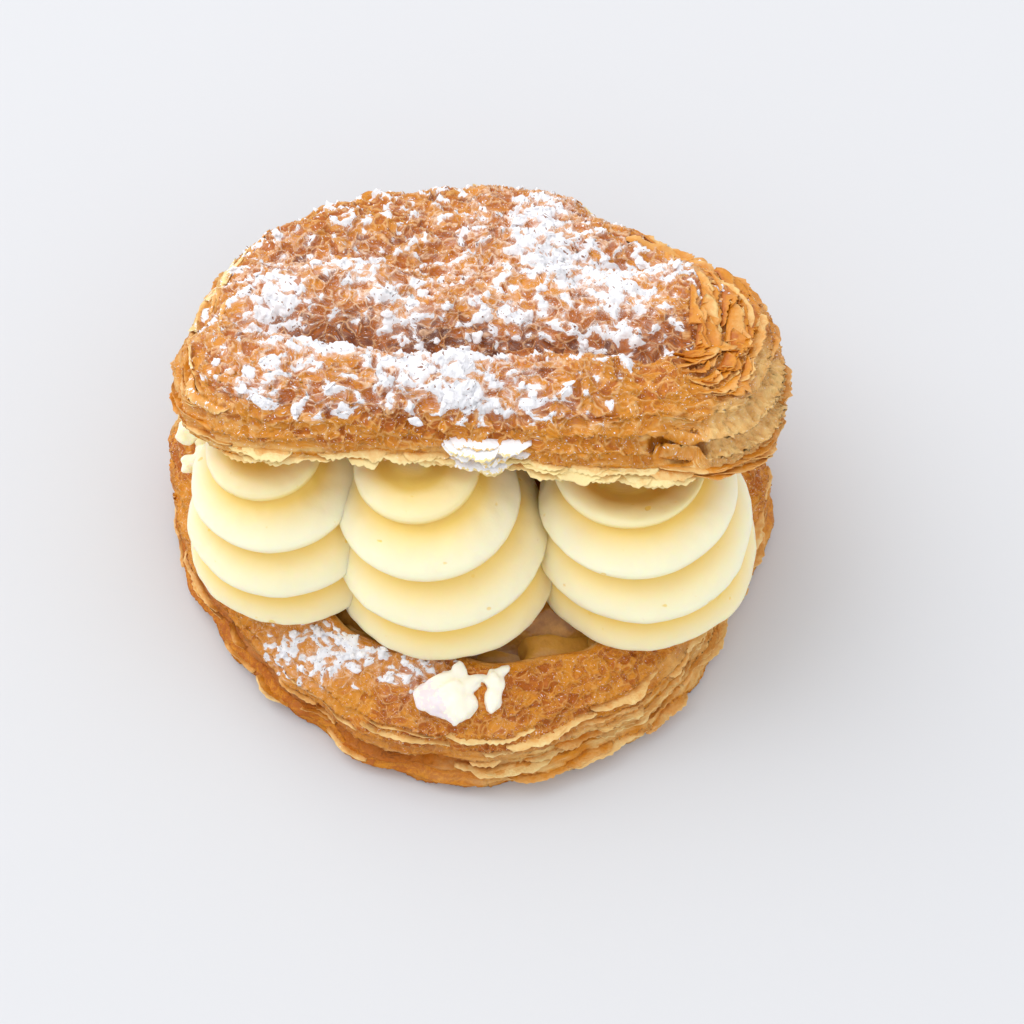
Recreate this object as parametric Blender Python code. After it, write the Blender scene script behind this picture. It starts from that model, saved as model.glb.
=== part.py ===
"""Apple turnover: a round puff pastry, sliced open, with apple filling and piped cream rosettes.

Units are millimetres in the functions and metres in the scene. +X is the eater's right, +Y the
back, +Z up. The origin is the middle of the flat underside.
"""

import math

import bmesh
import bpy
from mathutils import Euler, Vector, noise

MM = 0.001
TAU = 2 * math.pi

# Stretches of an edge that lie further out than its round, or further in: (direction in degrees,
# how far out, half width in degrees)
BASE_STRETCHES = ((-142, -5.2, 33), (-85, -0.7, 22), (-33, -3.2, 24), (175, 1.7, 22))
LID_STRETCHES = ((0, 3.0, 38), (34, -8.6, 29))
STRIP_STRETCHES = ((-97, 2.9, 13), (-58, -1.4, 12), (-127, -2.2, 9))

# Lower pastry
BASE_RADIUS = 59.4
BASE_HEIGHT = 19.2
EDGE_LAYER_HEIGHT = 5.8
FRONT_STRIP = 14.8
BACK_STRIP = 7.0
CUT_THICKNESS = 2.4
FLOOR_THICKNESS = 6.0

# Upper pastry, in its own frame: u to the right, v to the back, w up from its underside
LID_RADIUS = 56.5
LID_CUT_V = -27.0
LID_MIDDLE_V = 14.0
LID_THICKNESS = 17.5
LID_HOLLOW = 4.5
LID_TILT = math.radians(24.0)
LID_YAW = math.radians(-3.0)
LID_CENTRE = (1.3, 4.9, 43.6)

# Apple filling
FILLING_TOP = 20.0
FILLING_CLEARANCE = 0.8

# Cream rosettes: name, x, y, radius, height, turns of the rope, lean of the top along x and y,
# power of its narrowing upwards, depth of the bowl in its top
ROSETTES = (
    ("front_left", -33.3, -14.3, 20.0, 29.5, 4.4, -4.0, 6.0, 0.9, 1.0),
    ("front_middle", -4.3, -20.7, 21.3, 32.3, 4.4, -4.5, 7.2, 0.9, 1.0),
    ("front_right", 33.5, -18.6, 21.2, 31.0, 4.4, -3.0, 7.2, 0.6, 6.0),
    ("back_left", -35.5, 14.0, 19.5, 19.0, 3.2, 0.0, -1.0, 1.0, 0.0),
    ("back_middle", -2.0, 18.5, 19.5, 17.5, 3.2, 0.0, -1.0, 1.0, 0.0),
    ("back_right", 35.8, 12.5, 20.0, 19.5, 3.2, 0.0, -1.0, 1.0, 0.0),
)
BOWL_CLIMB = (60, 82)
CREAM_BOTTOM = 20.6
LIP_DEPTH = 2.9
CLIMB_POWER = 1.15
LIP_OVERHANG = 1.3
GAP = 0.3

# Faces round and along each solid
PASTRY_STEPS = 80
LID_GRID = 32
LID_TOP_SHARE = 0.93
FILLING_STEPS = 36
ROSETTE_STEPS = 24
LIP_ROWS = (0.0, 0.08, 0.24, 0.5, 0.76)

# Colours, linear red, green and blue
CRUST = (0.62, 0.27, 0.07)
CREAM = (0.90, 0.80, 0.44)
APPLE = (0.52, 0.33, 0.12)


def smooth(low, high, value):
    """0 below low, 1 above high, with a smooth turn between them."""
    t = min(max((value - low) / (high - low), 0.0), 1.0)
    return t * t * (3 - 2 * t)


def bell(value):
    return math.exp(-value * value)


def stretched(angle, stretches):
    """How far out an edge lies at this angle because of its fuller and flatter stretches."""
    out = 0.0
    for direction, reach, half_width in stretches:
        away = (math.degrees(angle) - direction + 180) % 360 - 180
        out += reach * bell(away / half_width)
    return out


def crag(x, y, z, size, seed):
    """Lumps of about this size, from -1 to 1."""
    return 1.8 * noise.noise(Vector((x / size + 17.3 * seed, y / size - 9.1 * seed, z / size)))


def material(name, colour, roughness):
    made = bpy.data.materials.new(name)
    made.use_nodes = True
    shader = made.node_tree.nodes["Principled BSDF"]
    shader.inputs["Base Color"].default_value = (*colour, 1.0)
    shader.inputs["Roughness"].default_value = roughness
    shader.inputs["Metallic"].default_value = 0.0
    return made


def new_object(name, mesh_data, finish):
    made = bpy.data.objects.new(name, mesh_data)
    bpy.context.scene.collection.objects.link(made)
    made.data.materials.append(finish)
    made.data.shade_smooth()
    return made


def new_vert(bm, point):
    return bm.verts.new(Vector(point) * MM)


def loft(name, first, rings, last):
    """A closed mesh through rings of points, from one end point to the other."""
    bm = bmesh.new()
    ends = [new_vert(bm, point) for point in (first, last)]
    rows = [[new_vert(bm, point) for point in ring] for ring in rings]
    count = len(rows[0])
    for k in range(count):
        after = (k + 1) % count
        bm.faces.new((ends[0], rows[0][after], rows[0][k]))
        for low, high in zip(rows, rows[1:]):
            bm.faces.new((low[k], low[after], high[after], high[k]))
        bm.faces.new((rows[-1][k], rows[-1][after], ends[1]))
    return finished(name, bm)


def finished(name, bm):
    bmesh.ops.triangulate(bm, faces=bm.faces)
    bmesh.ops.recalc_face_normals(bm, faces=bm.faces)
    data = bpy.data.meshes.new(name)
    bm.to_mesh(data)
    bm.free()
    return data


# Lower pastry: a sealed edge layer, a domed browned crust over it and a hollow with the filling


def base_rim(angle):
    """Radius of the sealed edge: nearly round, with a wavy hand-cut line."""
    wave = 0.4 * math.sin(7 * angle + 0.8) + 0.3 * math.sin(13 * angle + 2.1)
    return BASE_RADIUS + wave + stretched(angle, BASE_STRETCHES)


def frontness(angle):
    """1 in front, where a strip of the top crust stayed on, and 0 at the back."""
    return smooth(-0.25, 0.45, -math.sin(angle))


def base_section(angle):
    """(inset from the rim, height) from the underside round the outside to the hollow's floor."""
    front = frontness(angle)
    strip = BACK_STRIP + (FRONT_STRIP - BACK_STRIP) * front + stretched(angle, STRIP_STRETCHES)
    section = [(4.0, 0.0)]
    for k in range(4):
        turn = math.radians(-58 + 42 * k)
        layer_z = EDGE_LAYER_HEIGHT / 2 * (1 + math.sin(turn))
        section.append((1.9 * (1 - math.cos(turn)), layer_z))
    section.append((1.4 + 1.8 * front, EDGE_LAYER_HEIGHT + 0.5))
    lip = 0.6 + 1.2 * front
    roundness = 0.55 + 0.35 * front
    for k in range(9):
        turn = math.radians(90) * k / 8
        rise = math.sin(turn) ** roundness if k else 0.0
        out = 1 - math.cos(turn) ** (1.9 - 0.4 * front)
        z = 7.6 + (BASE_HEIGHT - 7.6) * rise
        section.append((lip + (strip - lip) * out, z))
    section.append((strip + 1.6, BASE_HEIGHT - 0.9))
    section.append((strip + 2.0, BASE_HEIGHT - CUT_THICKNESS))
    section.append((strip - 0.4, BASE_HEIGHT - CUT_THICKNESS - 3.5))
    section.append((strip - 0.6, FLOOR_THICKNESS + 3.0))
    section.append((strip + 2.4, FLOOR_THICKNESS))
    return section


def base_point(angle, inset, z):
    """A point of the lower pastry, with lumps, blisters and the edges of its layers."""
    radius = base_rim(angle) - inset
    x, y = radius * math.cos(angle), radius * math.sin(angle)
    if z < 0.05 or z <= FLOOR_THICKNESS and inset > 10:
        return x, y, z
    inside = smooth(BACK_STRIP, BACK_STRIP + 1.5, inset) * (1 - frontness(angle))
    shown = 1 - 0.8 * max(inside, smooth(FRONT_STRIP, FRONT_STRIP + 1.5, inset))
    side = 1 - smooth(13, 18, z)
    layers = 0.55 * math.sin(z * 2.3 + 1.5 * crag(x, y, 0, 22, 1)) * side
    push = shown * (0.8 * crag(x, y, z, 11, 2) + 0.6 * crag(x, y, z, 5, 3) + layers)
    lift = shown * 0.9 * crag(x, y, 0, 9, 4) * smooth(9, 16, z)
    scale = (radius + push) / radius
    return x * scale, y * scale, min(z + lift, CREAM_BOTTOM - GAP)


def lower_pastry(finish):
    angles = [TAU * k / PASTRY_STEPS for k in range(PASTRY_STEPS)]
    sections = [base_section(angle) for angle in angles]
    rings = [
        [base_point(angle, *section[row]) for angle, section in zip(angles, sections)]
        for row in range(len(sections[0]))
    ]
    mesh = loft("lower_pastry", (0, 0, 0), rings, (0, 0, FLOOR_THICKNESS))
    pastry = new_object("lower_pastry", mesh, finish)
    fuse(pastry, cream_dabs())
    return pastry


def cream_dabs():
    """Two smears of cream that dropped on the front of the crust, as (x, y, width, length, turn)."""
    dabs = bpy.data.collections.new("dabs")
    bpy.context.scene.collection.children.link(dabs)
    for x, y, width, length, turn in ((-3.2, -47.6, 9.0, 7.6, 20), (4.9, -46.8, 3.4, 7.0, -15)):
        bm = bmesh.new()
        bmesh.ops.create_icosphere(bm, subdivisions=2, radius=0.5)
        for vert in bm.verts:
            bump = 1 + 0.2 * crag(vert.co.x, vert.co.y, vert.co.z, 0.7, 5)
            vert.co = Vector((vert.co.x * width, vert.co.y * length, vert.co.z * 4.6)) * bump * MM
        data = finished("dab", bm)
        dab = bpy.data.objects.new("dab", data)
        dab.location = Vector((x, y, 19.4)) * MM
        dab.rotation_euler = Euler((math.radians(25), 0, math.radians(turn)))
        dabs.objects.link(dab)
    return dabs


def fuse(target, pieces):
    """Joins a collection's closed meshes to the target, and removes them."""
    union = target.modifiers.new("fuse", "BOOLEAN")
    union.operation = "UNION"
    union.operand_type = "COLLECTION"
    union.solver = "EXACT"
    union.collection = pieces
    bpy.context.view_layer.objects.active = target
    bpy.ops.object.modifier_apply(modifier=union.name)
    for piece in list(pieces.objects):
        bpy.data.objects.remove(piece)
    bpy.data.collections.remove(pieces)


# Upper pastry: the risen top of the round, cut straight across in front and laid back


def lid_reach(angle):
    """From the lid's middle to its edge: a round with its front cut off and its corners rounded."""
    across = LID_MIDDLE_V * math.cos(angle)
    reach = -LID_MIDDLE_V * math.sin(angle) + math.sqrt(LID_RADIUS**2 - across**2)
    if math.sin(angle) < 0:
        to_cut = (LID_MIDDLE_V - LID_CUT_V) / -math.sin(angle)
        reach = (reach**-11 + to_cut**-11) ** (-1 / 11)
    wave = 0.6 * math.sin(5 * angle + 0.4) + 0.4 * math.sin(11 * angle + 1.3)
    return reach + wave + stretched(angle, LID_STRETCHES)


def lid_swell(u, v):
    """Thickness of the risen pastry: three broad rolls with a deep and a shallow valley between."""
    deep_v = -6.8 + 0.003 * (u - 5) ** 2
    shallow_v = 19.0 + 0.05 * u
    ends = 1 - smooth(32, 52, abs(u))
    deep = 7.0 * bell((v - deep_v) / 5.2) * (0.35 + 0.65 * ends)
    shallow = 3.4 * bell((v - shallow_v) / 5.5) * ends
    drift = 1.4 * crag(u, v, 0, 24, 6)
    return LID_THICKNESS + 1.2 * smooth(-4, 20, v) - deep - shallow + drift


def lid_top(angle, q):
    """A point of the lid's upper side, q of the way from its middle to its edge."""
    reach = lid_reach(angle)
    u = q * reach * math.cos(angle)
    v = LID_MIDDLE_V + q * reach * math.sin(angle)
    blunt = 7.0 + 4.0 * smooth(10, 50, u)
    w = lid_swell(u, v) * (1 - q**blunt) ** 0.5 * (1 - 0.16 * q * q)
    rim = smooth(0.86, 0.97, q)
    flaky = 0.4 + 0.9 * smooth(15, 45, u)
    layers = flaky * math.sin(w * 1.9 + 2.0 * crag(u, v, 0, 20, 7)) * rim * (1 - smooth(0.994, 1, q))
    out = 1 + (layers + 0.7 * rim * crag(u, v, w, 7, 8)) / reach
    top = 1 - smooth(0.93, 1, q)
    w += top * (0.9 * crag(u, v, 0, 8, 9) + 0.5 * crag(u, v, 0, 4.2, 10))
    return u * out, LID_MIDDLE_V + (v - LID_MIDDLE_V) * out, w


def lid_under(angle, q):
    """A point of the hollow underside."""
    reach = lid_reach(angle) * q
    u, v = reach * math.cos(angle), LID_MIDDLE_V + reach * math.sin(angle)
    return u, v, LID_HOLLOW * (1 - q**4)


def lid_side(angle):
    """Points from the upper side's edge down the side, then in along the underside."""
    side = [lid_top(angle, q) for q in (0.955, 0.975, 0.99, 0.998, 1.0)]
    return side + [lid_under(angle, q) for q in (0.96, 0.7, 0.35)]


def round_place(i, j, steps):
    """(angle, distance) of a square grid's point when the square is drawn out to a round of 1."""
    a, b = 2 * i / steps - 1, 2 * j / steps - 1
    x, y = a * math.sqrt(1 - b * b / 2), b * math.sqrt(1 - a * a / 2)
    return math.atan2(y, x), math.hypot(x, y)


def domed(name, steps, top, side, last):
    """A closed mesh: a round grid of points on top, rings down its side, and one end point below."""
    bm = bmesh.new()
    span = range(steps + 1)
    grid = [[new_vert(bm, top(*round_place(i, j, steps))) for j in span] for i in span]
    for i in range(steps):
        for j in range(steps):
            bm.faces.new((grid[i][j], grid[i + 1][j], grid[i + 1][j + 1], grid[i][j + 1]))
    edge = [(i, 0) for i in range(steps)] + [(steps, j) for j in range(steps)]
    edge += [(steps - i, steps - j) for i, j in edge]
    columns = [
        [grid[i][j]] + [new_vert(bm, point) for point in side(round_place(i, j, steps)[0])]
        for i, j in edge
    ]
    end = new_vert(bm, last)
    for near, far in zip(columns, columns[1:] + columns[:1]):
        for row in range(len(near) - 1):
            bm.faces.new((near[row], near[row + 1], far[row + 1], far[row]))
        bm.faces.new((near[-1], end, far[-1]))
    return finished(name, bm)


def upper_pastry(finish):
    mesh = domed(
        "upper_pastry",
        LID_GRID,
        lambda angle, share: lid_top(angle, share * LID_TOP_SHARE),
        lid_side,
        lid_under(0, 0),
    )
    pastry = new_object("upper_pastry", mesh, finish)
    pastry.location = Vector(LID_CENTRE) * MM
    pastry.rotation_euler = Euler((-LID_TILT, 0, LID_YAW))
    return pastry


# Apple filling: a soft lumpy bed in the hollow, lower where two gaps show it in front


def filling_height(x, y):
    front_gap = smooth(30, 38, -y)
    lump = 0.8 * crag(x, y, 0, 10, 11)
    return FILLING_TOP - 0.8 + 0.4 * lump - (6.0 - lump) * front_gap


def filling_point(angle, q):
    reach = base_rim(angle) - base_section(angle)[-2][0] - FILLING_CLEARANCE
    x, y = q * reach * math.cos(angle), q * reach * math.sin(angle)
    floor = FLOOR_THICKNESS + 0.4
    return x, y, floor + (filling_height(x, y) - floor) * (1 - q**14) ** 0.5


def apple_filling(finish):
    angles = [TAU * k / FILLING_STEPS for k in range(FILLING_STEPS)]
    floor = FLOOR_THICKNESS + 0.4
    rings = [[(*filling_point(angle, 0.9)[:2], floor) for angle in angles]]
    for q in (0.985, 0.95, 0.9, 0.82, 0.7, 0.5, 0.25):
        rings.append([filling_point(angle, q) for angle in angles])
    mesh = loft("apple_filling", (0, 0, floor), rings, filling_point(0, 0))
    return new_object("apple_filling", mesh, finish)


# Cream rosettes: a rope of cream piped round and up, its ridges overhanging like stacked lips


def lip(b):
    """The rope's side from crease to crease: 0 in the creases and 1 where it is fullest, low down."""
    return smooth(0.0, 0.22, b) * (1 - max((b - 0.28) / 0.72, 0.0) ** 1.4)


def rosette_point(rosette, turn, b):
    """A point of a rosette: turn counts rings of rope from the bottom, b runs up across one."""
    radius, height, turns, lean_x, lean_y, narrowing, bowl = rosette[3:]
    risen = (turn + b) / turns
    climb = 90 * math.copysign(abs(risen) ** CLIMB_POWER, risen)
    up, out = math.sin(math.radians(climb)), max(math.cos(math.radians(climb)), 0.0) ** narrowing
    inset = LIP_DEPTH * (1 - 0.3 * max(up, 0.0)) * (1 - lip(b))
    droop = LIP_OVERHANG * smooth(0, 0.08, b) * (1 - smooth(0.1, 0.6, b))
    r = max((radius - inset) * out + droop * up, 0.9)
    z = (height - inset) * up - droop * out - bowl * smooth(*BOWL_CLIMB, climb)
    angle = TAU * turn - math.radians(90)
    x = lean_x * up * up + r * math.cos(angle)
    y = lean_y * up * up + r * math.sin(angle)
    return x, y, z


def rosette_mesh(name, rosette):
    """A closed helical mesh, cut off on the filling and where its neighbours begin."""
    steps, rows = ROSETTE_STEPS, len(LIP_ROWS)
    length = round(steps * (rosette[5] + 1.2))
    place = Vector((rosette[1], rosette[2], CREAM_BOTTOM))
    bm = bmesh.new()
    grid = [
        [new_vert(bm, place + Vector(rosette_point(rosette, i / steps - 2, b))) for b in LIP_ROWS]
        for i in range(length + 1)
    ]

    def above(i, j):
        """The vertex in row j at step i; past the last row it lies on the next ring of rope."""
        if j == rows:
            i, j = i + steps, 0
        return grid[i][j] if i <= length else None

    for i in range(length):
        for j in range(rows):
            corners = (grid[i][j], grid[i + 1][j], above(i + 1, j + 1), above(i, j + 1))
            if None not in corners:
                bm.faces.new(corners)
    close_top(bm, place, rosette)
    trim(bm, [(place, Vector((0, 0, -1)))] + cuts_of(rosette))
    return finished(name, bm)


def close_top(bm, place, rosette):
    """A fan from the tip to the open upper edge of the helix."""
    height, _, lean_x, lean_y, _, bowl = rosette[4:]
    tip = new_vert(bm, place + Vector((lean_x, lean_y, height - bowl)))
    for edge in [edge for edge in bm.edges if edge.is_boundary]:
        if edge.verts[0].co.z > place.z * MM:
            bm.faces.new((*edge.verts, tip))


def cuts_of(rosette):
    """(point, outward direction) of the flat sides where the rounds of two rosettes cross."""
    middle, radius = Vector(rosette[1:3]), rosette[3]
    cuts = []
    for other in ROSETTES:
        away = Vector(other[1:3]) - middle
        if 0 < away.length < radius + other[3]:
            reach = (radius**2 - other[3] ** 2 + away.length_squared) / (2 * away.length)
            direction = away.normalized().to_3d()
            cuts.append((middle.to_3d() + direction * (reach - GAP / 2), direction))
    return cuts


def trim(bm, cuts):
    for point, direction in cuts:
        bmesh.ops.bisect_plane(
            bm,
            geom=bm.verts[:] + bm.edges[:] + bm.faces[:],
            plane_co=point * MM,
            plane_no=direction,
            clear_outer=True,
        )
        rim = [edge for edge in bm.edges if edge.is_boundary]
        if rim:
            bmesh.ops.holes_fill(bm, edges=rim, sides=0)


def cream_rosettes(finish):
    """Three tall rosettes in front and three low ones behind them, under the sloping lid."""
    for rosette in ROSETTES:
        name = "cream_rosette_" + rosette[0]
        new_object(name, rosette_mesh(name, rosette), finish)


def main():
    for old in list(bpy.data.objects):
        bpy.data.objects.remove(old)
    crust = material("crust", CRUST, 0.55)
    lower_pastry(crust)
    upper_pastry(crust)
    apple_filling(material("apple", APPLE, 0.4))
    cream_rosettes(material("cream", CREAM, 0.35))


main()
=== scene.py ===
"""Cream filled apple turnover: its blistered crusts, flakes, sugar, apple and piped cream.

Lengths are millimetres in the shape functions and metres in the scene.
"""

import math
import random

import bmesh
import bpy
import numpy as np
from bpy.props import FloatProperty, FloatVectorProperty, IntProperty, PointerProperty
from mathutils import Euler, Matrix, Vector, noise


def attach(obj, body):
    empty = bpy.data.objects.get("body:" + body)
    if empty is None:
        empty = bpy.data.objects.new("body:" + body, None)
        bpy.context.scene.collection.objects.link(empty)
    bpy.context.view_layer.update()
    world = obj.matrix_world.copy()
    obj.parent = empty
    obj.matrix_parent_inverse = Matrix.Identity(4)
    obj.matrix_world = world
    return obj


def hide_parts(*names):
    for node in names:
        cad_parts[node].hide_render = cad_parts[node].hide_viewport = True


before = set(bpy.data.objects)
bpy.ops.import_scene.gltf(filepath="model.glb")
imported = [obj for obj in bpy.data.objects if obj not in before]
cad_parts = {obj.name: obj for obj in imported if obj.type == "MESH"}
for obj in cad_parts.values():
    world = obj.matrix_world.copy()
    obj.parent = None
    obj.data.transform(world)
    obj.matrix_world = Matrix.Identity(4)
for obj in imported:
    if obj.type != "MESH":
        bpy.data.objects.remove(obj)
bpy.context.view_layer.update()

bl_info = {
    "name": "Apple Turnover",
    "version": (1, 0, 0),
    "blender": (4, 5, 0),
    "location": "3D View > Sidebar > Turnover",
    "description": "Builds a cream filled apple turnover round its packed solids",
    "category": "Add Mesh",
}

MM = 0.001
TAU = 2 * math.pi

# The solids' own sizes and forms, which the dressed pieces keep
BASE_STRETCHES = ((-142, -5.2, 33), (-85, -0.7, 22), (-33, -3.2, 24), (175, 1.7, 22))
LID_STRETCHES = ((0, 3.0, 38), (34, -8.6, 29))
STRIP_STRETCHES = ((-97, 2.9, 13), (-58, -1.4, 12), (-127, -2.2, 9))
BASE_RADIUS = 59.4
BASE_HEIGHT = 19.2
EDGE_LAYER_HEIGHT = 5.8
FRONT_STRIP = 14.8
BACK_STRIP = 7.0
CUT_THICKNESS = 2.4
FLOOR_THICKNESS = 6.0
LID_RADIUS = 56.5
LID_CUT_V = -27.0
LID_MIDDLE_V = 14.0
LID_THICKNESS = 17.5
LID_HOLLOW = 4.5
LID_TILT = math.radians(24.0)
LID_YAW = math.radians(-3.0)
LID_CENTRE = (1.3, 4.9, 43.6)
FILLING_TOP = 20.0
FILLING_CLEARANCE = 0.8
# Rosettes: name, x, y, radius, height, turns of the rope, lean of the top along x and y,
# power of its narrowing upwards, depth of the bowl in its top
ROSETTES = (
    ("front_left", -33.3, -14.3, 20.0, 29.5, 4.4, -4.0, 6.0, 0.9, 1.0),
    ("front_middle", -4.3, -20.7, 21.3, 32.3, 4.4, -4.5, 7.2, 0.9, 1.0),
    ("front_right", 33.5, -18.6, 21.2, 31.0, 4.4, -3.0, 7.2, 0.6, 6.0),
    ("back_left", -35.5, 14.0, 19.5, 19.0, 3.2, 0.0, -1.0, 1.0, 0.0),
    ("back_middle", -2.0, 18.5, 19.5, 17.5, 3.2, 0.0, -1.0, 1.0, 0.0),
    ("back_right", 35.8, 12.5, 20.0, 19.5, 3.2, 0.0, -1.0, 1.0, 0.0),
)
BOWL_CLIMB = (60, 82)
CREAM_BOTTOM = 20.6
CREAM_FOOT = 19.3
LIP_DEPTH = 2.9
CLIMB_POWER = 1.15
LIP_OVERHANG = 1.3
DABS = (  # middle of a blob of dropped cream, its sizes and its turn in degrees
    ((-2.4, -48.9, 17.9), (7.8, 8.4, 5.2), 24),
    ((-5.0, -48.8, 17.8), (7.6, 6.0, 4.2), -38),
    ((-0.6, -46.4, 18.9), (8.6, 3.4, 2.6), 32),
    ((-7.6, -48.0, 17.9), (5.6, 6.0, 3.0), 30),
    ((-4.6, -45.0, 19.1), (9.0, 3.0, 2.0), 24),
    ((-1.6, -43.6, 19.6), (2.8, 4.2, 1.6), 10),
    ((-2.4, -52.4, 16.8), (1.2, 2.4, 1.4), -8),
    ((5.0, -45.4, 18.9), (3.8, 5.0, 3.0), 16),
    ((4.8, -48.2, 18.0), (3.4, 6.0, 3.4), -14),
    ((6.2, -43.4, 19.4), (4.0, 2.0, 1.6), 32),
)
WISPS = (  # where a bit of cream sticks out, and its half sizes
    ((-52.6, 5.2, 27.6), (3.4, 2.2, 2.2)),
    ((-54.6, 3.6, 26.4), (2.0, 1.4, 1.4)),
    ((-50.6, 0.4, 25.8), (2.6, 2.0, 2.0)),
    ((-53.2, -0.8, 25.0), (2.4, 1.4, 1.3)),
    ((-54.4, -2.0, 24.2), (1.2, 1.0, 1.2)),
)
CHUNKS = (  # middle of an apple chunk, its half sizes and its turn in degrees
    ((17.5, -36.4, 12.6), (7.6, 4.2, 3.2), 10),
    ((6.5, -36.0, 11.0), (5.0, 4.4, 2.6), -24),
    ((27.0, -34.0, 12.4), (5.0, 4.0, 3.0), 36),
    ((-20.5, -32.5, 13.4), (3.8, 3.0, 2.2), 25),
    ((-28.0, -28.5, 13.0), (3.6, 3.2, 2.2), -10),
)

# How finely the dressed pieces are divided
LID_STEPS = 240
LID_TOP_SHARE = 0.93
LID_SIDE_ROWS = 32
BASE_STEPS = 880
BASE_ROW_STEP = 0.45
ROSETTE_STEPS = 150
ROSETTE_ROWS = 15

APPLE_STEPS = 240
APPLE_ROWS = 60

# Relief and loose flakes
RELIEF_SINKS = 0.45  # the crusts' relief lies about the solids' outline, not on it
HOLE_DEPTH = 2.4
USUAL_FLAKE_REACH = 2.2
FLAKE_THICKNESS = 0.24
SHEET_THICKNESS = 0.25
TOOTH_LENGTH = 1.15
FRONT_FLAKES = 48
SUGARED_FLAKES = 8
SUGARED_FLAKE_U = 2.8
SHEETS_HIGH_FROM = 0.7  # sheets that lift at least so much stay on the lid's top
SHEETS_END = (0.9995, 0.975)  # how far out along the lid low sheets and high ones may end
CREAM_SPREAD = (1.0, 0.72, 0.30)  # how far red, green and blue light spread, as shares
APPLE_SPREAD = (1.0, 0.5, 0.2)
DAB_GRAIN = 0.22
WISP_GRAIN = 0.25

# Where sugar lies thick on the lid: (u, v, half width, half length, thickness)
LID_SUGAR = (
    (10, 31, 5.5, 9.5, 1.0),
    (15, 18, 7.0, 9.0, 1.0),
    (26, 13, 6.5, 8.5, 0.95),
    (35, 17, 3.0, 6.0, 0.75),
    (43, 10, 7.0, 3.6, 0.42),
    (5, 0, 8.5, 5.0, 0.62),
    (26, 0, 9.5, 5.0, 0.58),
    (-2, -19, 6.0, 10.0, 1.0),
    (9, -28, 8.0, 8.0, 0.62),
    (-39, 5, 7.5, 7.5, 0.72),
    (-23, 11, 6.5, 5.0, 0.66),
    (-28, -10, 7.0, 5.5, 0.8),
    (-38, -20, 3.5, 6.5, 0.75),
    (-10, -17, 9.0, 8.0, 0.82),
    (-13, 4, 7.0, 7.0, 0.6),
    (-25, -27, 5.5, 6.0, 0.66),
    (-8, -34, 7.0, 6.5, 0.6),
    (-3, 22, 6.0, 15.0, 0.46),
)
BASE_SUGAR = ((-23, -38.5, 8.5, 3.6, 0.9), (-32, -36.5, 5.5, 4.4, 0.6), (-11, -42.5, 6.5, 2.6, 0.6))

# Textures that shape the crust and colour it alike: (node, settings, inputs, output)
CRUST_TEXTURES = {
    "blister": ("ShaderNodeTexVoronoi", {"feature": "DISTANCE_TO_EDGE"}, {"Scale": 0.36}, "Distance"),
    "crinkle": ("ShaderNodeTexVoronoi", {"feature": "DISTANCE_TO_EDGE"}, {"Scale": 0.66}, "Distance"),
    "tone": ("ShaderNodeTexVoronoi", {"feature": "F1"}, {"Scale": 0.36}, "Color"),
    "grit": ("ShaderNodeTexNoise", {}, {"Scale": 0.85, "Detail": 3.0, "Roughness": 0.6}, "Fac"),
    "spots": ("ShaderNodeTexNoise", {}, {"Scale": 0.38, "Detail": 1.5, "Roughness": 0.45}, "Fac"),
}
SUGAR_NOISE = {"spots": 3.0, "grit": 0.6}
SUGAR_LIES = (0.02, 0.2)  # where it is uneven, by its stored amount
SUGAR_STARTS = 0.52
SUGAR_COVERS = 0.68
SUGAR_LUMPS_FROM = 0.42
BASE_LUMPS = 60


# Shape helpers


def smooth(low, high, value):
    """0 below low, 1 above high, with a smooth turn between them."""
    t = np.clip((value - low) / (high - low), 0.0, 1.0)
    return t * t * (3 - 2 * t)


def bell(value):
    """1 at 0, and falling to 0 on both sides."""
    return np.exp(-np.square(value))


def stretched(angle, stretches):
    """How far out an edge lies at this angle because of its fuller and flatter stretches."""
    out = 0.0
    for direction, reach, half_width in stretches:
        away = (np.degrees(angle) - direction + 180) % 360 - 180
        out = out + reach * bell(away / half_width)
    return out


def crag(x, y, z, size, seed):
    """Lumps of about this size, from -1 to 1."""
    x, y, z = np.broadcast_arrays(x, y, z)
    places = np.stack((x / size + 17.3 * seed, y / size - 9.1 * seed, z / size), -1)
    lumps = [noise.noise(place) for place in places.reshape(-1, 3).tolist()]
    return 1.8 * np.array(lumps).reshape(x.shape)


def heaped(x, y, patches):
    """How thick sugar lies at a place, from its patches."""
    thickness = np.zeros_like(x)
    for middle_x, middle_y, half_x, half_y, amount in patches:
        away = np.square((x - middle_x) / half_x) + np.square((y - middle_y) / half_y)
        thickness = np.maximum(thickness, amount * np.exp(-0.55 * away))
    return thickness


# Mesh helpers


def new_piece(name, points, faces, finish, slot, nodes=(), fields=None):
    """A shaded mesh that rides on the food's body and stands for the solids it is named for."""
    data = bpy.data.meshes.new(name)
    data.from_pydata((np.asarray(points) * MM).tolist(), [], faces)
    data.update()
    for field, values in (fields or {}).items():
        store(data, field, values)
    data.materials.append(finish)
    data.shade_smooth()
    piece = bpy.data.objects.new(name, data)
    bpy.context.scene.collection.objects.link(piece)
    return settled(piece, nodes)


def settled(piece, nodes=()):
    """Says what a piece rides on and which solids it replaces."""
    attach(piece, "root")
    if nodes:
        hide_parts(*nodes)
    return piece


def store(data, field, values):
    """Keeps a value or a vector for each point of a mesh."""
    values = np.asarray(values, float)
    kind, key = ("FLOAT_VECTOR", "vector") if values.ndim == 2 else ("FLOAT", "value")
    made = data.attributes.new(field, kind, "POINT")
    made.data.foreach_set(key, values.ravel())


def normals_of(data):
    found = np.zeros(len(data.vertices) * 3)
    data.vertices.foreach_get("normal", found)
    return found.reshape(-1, 3)


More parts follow.
